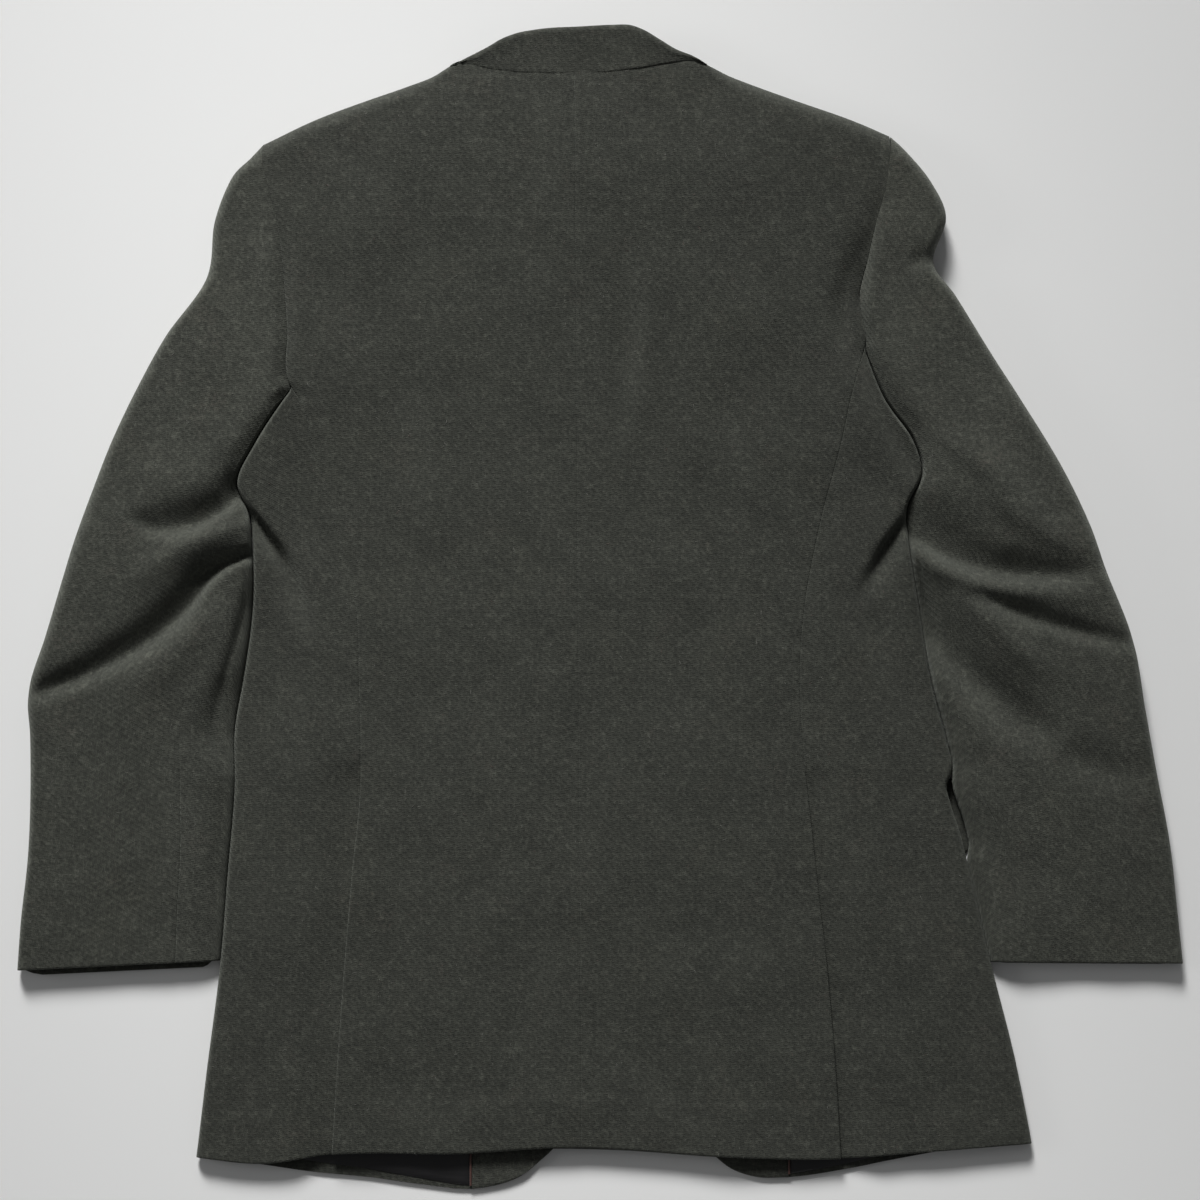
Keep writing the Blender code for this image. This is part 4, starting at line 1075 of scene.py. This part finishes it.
sleevePiece = {
    "rowStep": 2.4,
    "topStep": 2.2,
    "bottomSteps": 14,
    "seamDip": (3.5, 0.30),
    "seamRoll": (1.2, 0.50),
    "seamShows": {"left": (-40.0, -200.0), "right": (20.0, -60.0)},  # the seam fades in between these heights
    "outerTurn": 0.30,  # reach of the outer fold as a share of the height
    "cuffRoll": (1.4, 1.5),
    "reach": {  # how far in from the inner edge the cloth starts to turn down
        "left": table(
            "y reach",
            (-255, 6), (-128, 7), (-108, 9), (-100, 13), (-86, 16), (-56, 14), (-31, 10), (0, 5), (40, 4),
            (130, 3.2), (160, 3),
        ),
        "right": table(
            "y reach",
            (-256, 4.5), (-180, 6), (-160, 4.5), (-60, 4), (40, 4), (110, 3.4), (187, 3),
        ),
    },
    "fall": {  # how far the cloth sinks beside the body's edge, and how wide that slope is
        "left": table(
            "y depth wide",
            (-255, 4, 9), (-180, 7, 11), (-110, 8, 10), (0, 6, 8), (60, 6, 7), (110, 9, 11), (159, 4, 8),
        ),
        "right": table(
            "y depth wide",
            (-256, 5, 10), (-180, 10, 13), (-90, 8, 11), (0, 6, 9), (60, 3, 6), (100, 5, 8), (130, 8, 11),
            (187, 5, 9),
        ),
    },
    "apart": {  # gap to the body's edge, where the pocket flap shows
        "left": table("y gap", (-256, 0.15), (160, 0.15)),
        "right": table(
            "y gap",
            (-256, 0.15), (-182, 0.15), (-170, 4.5), (-150, 5.5), (-128, 4.5), (-118, 0.15), (187, 0.15),
        ),
    },
    "cuffStep": {"left": 4.5, "right": 1.0},
    "lowest": (2 * wall + 3, 1.5),  # how low a fold can go, and how softly it ends there
    "headEnd": 5.8,  # station where the armhole's seam valley ends
    "flat": {
        "sleeve_top_left": (0.23, 0.63, 0.118),
        "sleeve_top_right": (0.23, 0.63, 0.121),
        "sleeve_under_left": (0.10, 0.43, 0.033),
        "sleeve_under_right": (0.10, 0.43, 0.031),
    },
}


def sleeveAt(side, at):
    # Inner and outer points, height and seam shares at station numbers, all cubic along the sleeve
    rows = sleeves[side]
    knots = np.arange(len(rows["thick"]), dtype=float)
    found = {name: through(at, knots, rows[name]) for name in rows}
    sign = 1 if side == "left" else -1
    apart = sleevePiece["apart"][side]
    gap = np.interp(found["in_y"], apart["y"], apart["gap"])
    gap = np.where(at < backRows - 1, surface["seamGap"] / 2, gap)
    found["in_x"] = edgeX(side, found["in_y"]) - sign * gap
    inner = np.stack([found["in_x"], found["in_y"]], -1)
    outer = np.stack([found["out_x"], found["out_y"]], -1)
    return inner, outer, found["thick"], np.maximum(found["seam"], 0), np.maximum(found["under"], 0)


def sleeveStations(side, start):
    # Station numbers about one row step apart along the outer edge
    last = len(sleeves[side]["thick"]) - 1
    fine = np.linspace(start, last, 800)
    inner, outer = sleeveAt(side, fine)[:2]
    run = np.maximum(runOf(inner), 0.7 * runOf(outer))
    shares = gridShares(run[-1], sleevePiece["rowStep"], start > 0, True)
    return np.interp(shares, run / run[-1], fine)


def makeSleeve(side):
    # Upper and under piece, each from the seam on top round its edge to the seam below
    sign = 1 if side == "left" else -1
    for name, start, outward in (("sleeve_top", 0.0, True), ("sleeve_under", backRows - 0.98, False)):
        at = sleeveStations(side, start)
        inner, outer, thick, seam, under = sleeveAt(side, at)
        width = np.linalg.norm(outer - inner, axis=1)
        gap = surface["seamGap"] / 2 / width
        near, far = (inner, outer) if outward else (outer, inner)
        blendIn = smooth((at - (backRows - 1.0)) / 0.5)
        seam, under = seam * blendIn, under * blendIn
        if outward:
            seam, under = seam + gap, under + gap
        else:
            seam, under = (1 - np.maximum(share, 0.006) + gap for share in (seam, under))
        inward = sleevePiece["reach"][side]
        inward = np.interp(inner[:, 1], inward["y"], inward["reach"])
        reach = sleevePiece["outerTurn"] * thick if outward else inward
        reach = np.minimum(reach, 0.7 * width * (1 - seam))
        reach = np.where(at < 1, width * (0.999 - 0.299 * np.clip(at, 0, 1)), reach)
        last = 1 - reach / width
        length = np.max((last - seam) * width)
        shares = gridShares(length, sleevePiece["topStep"], True, False)
        steps = seam[:, None] + (last - seam)[:, None] * shares
        top = near[:, None] + steps[..., None] * (far - near)[:, None]
        lowShares = np.linspace(0, 1, sleevePiece["bottomSteps"])
        lowSteps = last[:, None] + (under - last)[:, None] * lowShares
        bottom = near[:, None] + lowSteps[..., None] * (far - near)[:, None]
        cuff = smooth((at - (len(sleeves[side]["thick"]) - 1.6)) / 0.6)[:, None]
        bottom[..., 1] -= sleevePiece["cuffStep"][side] * cuff * smooth(lowShares * 8)
        x, y = top[..., 0], top[..., 1]
        levels = thick[:, None] + foldRise(sleeveFolds, x, y) + drape(x, y)
        fall = sleevePiece["fall"][side]
        fromBody = (steps if outward else 1 - steps) * width[:, None]
        sink, wide = (np.interp(inner[:, 1], fall["y"], fall[key])[:, None] for key in ("depth", "wide"))
        levels -= sink * smooth((at - backRows + 1.6) / 0.8)[:, None] * np.exp(-((fromBody / wide) ** 1.5))
        lowest, bend = sleevePiece["lowest"]
        levels = lowest + softFloor(levels - lowest, bend)
        away = (steps - seam[:, None]) * width[:, None]
        run = runOf(far)
        levels += 0.6 * pucker(run[:, None], away, 0.5)
        head = outward * (1 - smooth((at - sleevePiece["headEnd"]) / 0.7))[:, None]
        shows = sleevePiece["seamShows"][side]
        plain = (1 - head) * (0.06 + 0.94 * smooth((shows[0] - top[..., 1]) / (shows[0] - shows[1])))
        armSoft, armTight = armholeFall(away, top[..., 1])
        levels -= head * armSoft + plain * dip(away, *sleevePiece["seamDip"])
        base = levels.copy()
        levels -= head * armTight + plain * roll(away, *sleevePiece["seamRoll"])
        fromCuff = (run[-1] - run)[:, None] * np.ones_like(away)
        levels -= roll(fromCuff, *sleevePiece["cuffRoll"])
        low = np.zeros(lowSteps.shape)
        shell, inside = wrapRows(top, levels, base, far, reach, bottom, low)
        piece = clothShell(f"{name}_{side}_cloth", shell, inside, tweedSleevePaintedLight)
        standIn(f"{name}_{side}")


# Collar: the leaf over the neck edge, its fold and the stand below

collar = {
    "lines": table(
        "x leaf fold",
        (-107, 388, 389.3), (-102, 389.2, 391.6), (-96, 389.9, 394.6), (-90, 389.3, 397.6),
        (-78.6, 386.7, 403.6), (-71, 385.6, 408.2), (-60, 384.5, 412.5), (-46, 383.7, 415.2),
        (-14, 383.3, 417.4), (9, 384.8, 418.6), (23, 386.6, 418.2), (32, 387.9, 414.8), (43.6, 390, 407.9),
        (55, 391.8, 401), (66.6, 392.6, 396.4), (73, 391.4, 393), (77, 389.6, 390.6),
    ),
    "wall": 1.0,
    "columnStep": 2.5,
    "rowStep": 2.0,
    "leafLength": 30.0,
    "puff": 1.6,
    "clear": 0.1,
    "reach": 4.0,  # how far in from the fold the leaf starts to turn down
    "leafRoll": (2.2, 0.85),
    "least": 0.04,  # share of the thickness that is left at the ends, and how far in the rest is reached
    "taper": 26.0,
    "endFall": (6.0, 2.5),  # reach and depth of the ends' fall on to the rounded shoulder
    "flat": (0.188, 0.062, 0.0074),
}


def makeCollar():
    # Rows across the leaf: flat and slightly puffed, a tight turn at the fold, then the stand
    lines = collar["lines"]
    first, last = lines["x"][0], lines["x"][-1]
    x = first + (last - first) * gridShares(last - first, collar["columnStep"])
    fromEnd = np.minimum(x - first, last - x)
    full = collar["least"] + (1 - collar["least"]) * smooth(fromEnd / collar["taper"])
    leaf, fold = through(x, lines["x"], lines["leaf"]), through(x, lines["x"], lines["fold"])
    neck = through(x, topLine["x"], topLine["y"]) + 0.2
    fallReach, fall = collar["endFall"]
    level = bodyHeight(x, neck) - fall * (1 - smooth(fromEnd / fallReach))
    reach = np.minimum(collar["reach"], 0.4 * (fold - leaf))
    shares = gridShares(collar["leafLength"], collar["rowStep"], True, False)
    y = leaf[:, None] + (fold - reach - leaf)[:, None] * shares
    above = collar["clear"] + collar["wall"] + collar["puff"] * shares**2
    levels = level[:, None] + full[:, None] * (above + 0.5 * drape(x[:, None] * 2, y * 2))
    base = levels.copy()
    away = y - leaf[:, None]
    levels -= roll(away, *collar["leafRoll"])
    standShares = np.linspace(0, 1, 8)
    stand = (fold - reach)[:, None] + (neck - fold + reach)[:, None] * standShares
    low = level[:, None] - full[:, None] * (wall + 0.8 * (stand - neck[:, None]) / (fold - neck)[:, None])
    top, bottom = (np.stack(np.broadcast_arrays(x[:, None], run), -1) for run in (y, stand))
    far = np.stack([x, fold], -1)
    rows = wrapRows(top, levels, base, far, reach, bottom, low, collar["wall"])
    outer, inner = (grid.transpose(1, 0, 2) for grid in rows)
    piece = clothShell("collar_cloth", outer, inner, tweed)
    standIn("collar")


# Lapels, collar ends and flaps: flat pieces with rounded edges, pressed under the fronts

plates = {
    "wall": 2.0,
    "rings": (0.0, 0.06, 0.2, 0.45, 0.8, 1.3, 2.2, 5.5, 6.2, 7.0),
    "breakPoint": {"left": (29, 58), "right": (-7, 58)},
    "lapel_left": table(
        "along out",
        (0.02, 1), (0.15, 27), (0.3, 50), (0.48, 72), (0.655, 90), (0.685, 62), (0.71, 40), (0.8, 1),
    ),
    "lapel_right": table(
        "along out",
        (0.22, 1), (0.26, 42), (0.48, 72), (0.655, 90), (0.685, 62), (0.71, 40), (0.8, 1),
    ),
    "collar_end": table(
        "along out",
        (0.805, 1), (0.716, 40), (0.692, 62), (0.735, 82), (0.84, 76), (0.95, 60), (0.985, 1),
    ),
    "flap_left": xyRows((-254, -126), (-113, -126), (-114, -172), (-120, -178), (-254, -177), (-260, -171)),
    "flap_right": xyRows((110, -126), (258.5, -123), (268.5, -170), (265, -177), (116, -180), (109, -173)),
}


def onRollLine(side, shape):
    # Points given along the roll line and out from it
    sign = 1 if side == "left" else -1
    start, end = np.array(plates["breakPoint"][side], float), np.array(rollEnd[side], float)
    run = end - start
    outward = np.array([-run[1], run[0]]) * sign / np.linalg.norm(run)
    return start + shape["along"][:, None] * run + shape["out"][:, None] * outward


def makePlate(name, outline):
    # Rings from the outline in towards the middle, their height a quarter ellipse, both faces alike
    closed = np.concatenate([outline, outline[:1]])
    length = runOf(closed)
    count = int(length[-1] / 4)
    run = np.unique(np.concatenate([np.linspace(0, length[-1], count, endpoint=False), length[:-1]]))
    rim = np.stack([np.interp(run, length, closed[:, i]) for i in range(2)], -1)
    middle = rim.mean(0)
    spread = np.linalg.norm(rim - middle, axis=1).min()
    insets = np.concatenate([np.array(plates["rings"]), np.linspace(10, spread, 7)[:-1], [spread * 0.999]])
    scale = 1 - insets / spread
    plan = middle + scale[:, None, None] * (rim - middle)[None]
    drop = roll(insets, 1.0, plates["wall"] / 2)[:, None] * np.ones(len(rim))
    upper, lower = raised(plan, plates["wall"] - drop), raised(plan, drop)
    piece = ringPiece(f"{name}_cloth", upper, lower, tweedPaintedShadeUnder)
    width, length = outline.max(0) * mm - outline.min(0) * mm
    standIn(name)


def ringPiece(name, upper, lower, material):
    # Closed solid from rings of points: an upper and a lower skin, joined round the first ring
    rings, count = upper.shape[:2]
    index = np.arange(rings * count).reshape(rings, count)
    after = np.roll(index, -1, axis=1)
    skin = np.stack([index[:-1], after[:-1], after[1:], index[1:]], -1).reshape(-1, 4)
    offset = rings * count
    rim = np.stack([after[0], index[0], index[0] + offset, after[0] + offset], -1)
    faces = [*skin.tolist(), *(skin[:, ::-1] + offset).tolist(), *rim.tolist()]
    faces += [index[-1].tolist(), (index[-1][::-1] + offset).tolist()]
    points = np.concatenate([upper.reshape(-1, 3), lower.reshape(-1, 3)]) * mm
    return addPiece(name, points, outward(points, faces), points[:, :2], material, 50)


# Buttons: turned discs with a rim, a dish and four holes

button = {
    "radius": 11.5,
    "thick": 4.0,
    "dish": (0.9, 0.78, 0.12),  # depth, the share of the radius where it starts, and its slope's share
    "faceRoll": (1.1, 1.1),
    "backRoll": (1.5, 1.2),
    "holeRadius": 1.0,
    "holeDepth": 1.4,
    "holeOffset": 1.9,
    "rim": (1.0, 0.995, 0.975, 0.94, 0.9, 0.86, 0.82, 0.78, 0.74, 0.7, 0.66),  # rings, shares of the radius
    "places": {"button_upper": (11.0, 32.0), "button_lower": (14.0, -66.0)},
}


def makeButton(name, centre):
    # Rings of a profile; its face looks down, and the holes are round dents in it
    turn = np.linspace(0, 2 * np.pi, 73)[:-1]
    share = np.concatenate([button["rim"], np.linspace(0.62, 0.03, 26)])
    radius = share * button["radius"]
    ring = np.stack([np.cos(turn), np.sin(turn)], -1)
    plan = radius[:, None, None] * ring[None]
    inward = button["radius"] - radius
    depth, start, over = button["dish"]
    face = roll(inward, *button["faceRoll"]) + depth * smooth((start - share) / over)
    dent = np.zeros(plan.shape[:2])
    for sx in (-1, 1):
        for sy in (-1, 1):
            off = np.hypot(plan[..., 0] - sx * button["holeOffset"], plan[..., 1] - sy * button["holeOffset"])
            fromHole = off / button["holeRadius"]
            dent += button["holeDepth"] * (1 - smooth((fromHole - 0.6) / 0.7))
    low = face[:, None] + dent
    high = np.broadcast_to((button["thick"] - roll(inward, *button["backRoll"]))[:, None], low.shape)
    plan = plan + np.array(centre)
    piece = ringPiece(f"{name}_horn", raised(plan, high), raised(plan, low), horn)
    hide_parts(name)


# Loose wool fibres on the cloth, above and below

lint = {
    "above": 4600,
    "below": 1800,
    "length": (1.3, 3.8),
    "width": (0.16, 0.30),
    "bend": 2.6,  # most that a fibre turns along its length, in radians
    "clear": 0.12,  # how far the ends lie off the cloth
    "rise": 0.25,  # and most that the middle stands higher
    "upright": 0.8,  # least share of a face's normal that points up or down
    "topLevel": 7.2,  # least height of a fibre above, and greatest height of one below
    "underLevel": 4.6,
}


def clothFaces(pieces):
    # Centres, normals and areas of all faces, in millimetres
    found = []
    for piece in pieces:
        count = len(piece.data.polygons)
        values = [np.zeros((count, size)) for size in (3, 3, 1)]
        for key, value in zip(("center", "normal", "area"), values):
            piece.data.polygons.foreach_get(key, value.ravel())
        found.append(np.concatenate(values, 1) / (mm, mm, mm, 1, 1, 1, mm * mm))
    return np.concatenate(found)


def makeLint(pieces):
    # Strips of three quads in the plane of a face: the heading turns evenly and the middle rises like a sine
    rng = np.random.default_rng(5)
    faces = clothFaces(pieces)
    up = (faces[:, 5] > lint["upright"]) & (faces[:, 2] > lint["topLevel"])
    down = (faces[:, 5] < -lint["upright"]) & (faces[:, 2] < lint["underLevel"])
    picked = []
    for wanted, kind in ((lint["above"], up), (lint["below"], down)):
        choice = faces[kind]
        picked.append(choice[rng.choice(len(choice), wanted, p=choice[:, 6] / choice[:, 6].sum())])
    picked = np.concatenate(picked)
    count = len(picked)
    centre, normal = picked[:, :3], picked[:, 3:6]
    along = np.cross(normal, (0.0, 1.0, 0.0))
    along /= np.linalg.norm(along, axis=1, keepdims=True)
    across = np.cross(normal, along)
    share = np.linspace(0, 1, 4)
    length = rng.uniform(*lint["length"], count) * rng.uniform(0.5, 1, count)
    heading = rng.uniform(0, 2 * np.pi, count)[:, None]
    heading = heading + lint["bend"] * rng.uniform(-1, 1, count)[:, None] * share
    move = (length / 3)[:, None] * np.stack([np.cos(heading), np.sin(heading)])
    path = np.cumsum(move, axis=2) - move[..., :1]
    side = rng.uniform(*lint["width"], count)[:, None] / 2 * np.stack([-np.sin(heading), np.cos(heading)])
    lift = lint["clear"] + lint["rise"] * rng.random(count)[:, None] * np.sin(np.pi * share)
    strips = []
    for edge in (-1, 1):
        flat = path + edge * side
        spot = centre[:, None] + flat[0][..., None] * along[:, None] + flat[1][..., None] * across[:, None]
        strips.append(spot + lift[..., None] * normal[:, None])
    points = np.stack(strips, 2).reshape(-1, 3) * mm
    start = 8 * np.arange(count)[:, None] + 2 * np.arange(3)
    quads = np.stack([start, start + 2, start + 3, start + 1], -1).reshape(-1, 4)
    addPiece("wool_fibres", points, quads.tolist(), points[:, :2], fibre)


for side in ("left", "right"):
    makeBack(side)
    makeSide(side)
    makeFront(side)
    makeSleeve(side)
    makePlate(f"lapel_{side}", onRollLine(side, plates[f"lapel_{side}"]))
    makePlate(f"collar_end_{side}", onRollLine(side, plates["collar_end"]))
    makePlate(f"flap_{side}", np.stack([plates[f"flap_{side}"]["x"], plates[f"flap_{side}"]["y"]], -1))
    print(f"{side} side of the coat made")
makeCollar()
for name, centre in button["places"].items():
    makeButton(name, centre)
print("collar and buttons made")
cloths = [piece for piece in bpy.data.objects if piece.name.endswith("_cloth")]
makeLint([piece for piece in cloths if "lining" not in piece.name])
print("fibres laid")


# Floor, light and camera

studio = {
    "floorSize": 8.0,
    "floorLevel": -0.0003,
    "floorColour": (0.84, 0.84, 0.832, 1),
    "keyPlace": (-1.9, 10.1, 6.2),
    "keySize": 3.6,
    "keyPower": 1290.0,
    "leftPlace": (-4.6, 0.65, 1.9),
    "leftSize": 1.4,
    "leftPower": 22.0,
    "poolPlace": (-0.75, 3.25, 2.0),
    "poolAim": (-0.13, 0.10, 0.0),
    "poolPower": 400.0,
    "poolAngle": 20.0,
    "poolRadius": 0.45,
    "skyColour": (0.80, 0.81, 0.82, 1),
    "skyStrength": 0.15,
    "cameraHeight": 3.0,
    "sensor": 36.0,
    "framedWidth": 0.864,  # what the picture spans at the height of the coat's edge
    "framedLevel": 0.013,
    "middle": (0.0004, 0.0061),
}


def makeStage():
    # A plain floor just under the coat, which can be seen through from below
    half, level = studio["floorSize"] / 2, studio["floorLevel"]
    mesh = bpy.data.meshes.new("floor")
    corners = [(half * x, half * y, level) for x, y in ((-1, -1), (1, -1), (1, 1), (-1, 1))]
    mesh.from_pydata(corners, [], [(0, 1, 2, 3)])
    floor = bpy.data.objects.new("floor", mesh)
    scene.collection.objects.link(floor)
    paper = bpy.data.materials.new("floorPaper")
    paper.use_nodes = True
    tree = paper.node_tree
    shader = tree.nodes["Principled BSDF"]
    shader.inputs["Base Color"].default_value = studio["floorColour"]
    shader.inputs["Roughness"].default_value = 0.9
    shader.inputs["Specular IOR Level"].default_value = 0.1
    clear = tree.nodes.new("ShaderNodeBsdfTransparent")
    behind = tree.nodes.new("ShaderNodeNewGeometry")
    sides = {"i1": shader.outputs[0], "i2": clear.outputs[0]}
    either = node(tree, "ShaderNodeMixShader", None, i0=behind.outputs["Backfacing"], **sides)
    tree.links.new(either.outputs[0], tree.nodes["Material Output"].inputs["Surface"])
    mesh.materials.append(paper)


def placeLamp(name, light, place, aim=(0.0, 0.0, 0.0)):
    # A light at its place, turned towards its aim
    lamp = bpy.data.objects.new(name, light)
    lamp.location = place
    direction = np.array(aim) - np.array(place)
    lamp.rotation_euler = Vector(direction).to_track_quat("-Z", "Y").to_euler()
    scene.collection.objects.link(lamp)


def areaLight(name, place, size, power):
    light = bpy.data.lights.new(name, "AREA")
    light.size = size
    light.energy = power
    placeLamp(name, light, place)


def poolLight():
    # Soft round pool on the middle of the coat, from the key light's side
    light = bpy.data.lights.new("poolLight", "SPOT")
    light.energy = studio["poolPower"]
    light.spot_size = np.radians(studio["poolAngle"])
    light.spot_blend = 1.0
    light.shadow_soft_size = studio["poolRadius"]
    placeLamp("poolLight", light, studio["poolPlace"], studio["poolAim"])


def makeCamera():
    # Straight down: the lens is the sensor's width * distance / what the picture spans
    data = bpy.data.cameras.new("camera")
    data.sensor_width = studio["sensor"]
    reach = studio["cameraHeight"] - studio["framedLevel"]
    data.lens = data.sensor_width * reach / studio["framedWidth"]
    data.clip_end = 50
    camera = bpy.data.objects.new("camera", data)
    camera.location = (*studio["middle"], studio["cameraHeight"])
    scene.collection.objects.link(camera)
    scene.camera = camera


makeStage()
areaLight("keyLight", studio["keyPlace"], studio["keySize"], studio["keyPower"])
areaLight("leftLight", studio["leftPlace"], studio["leftSize"], studio["leftPower"])
poolLight()
makeCamera()
world = bpy.data.worlds.new("studio")
world.use_nodes = True
world.node_tree.nodes["Background"].inputs["Color"].default_value = studio["skyColour"]
world.node_tree.nodes["Background"].inputs["Strength"].default_value = studio["skyStrength"]
scene.world = world
scene.view_settings.view_transform = "Standard"
print("stage, lights and camera made")
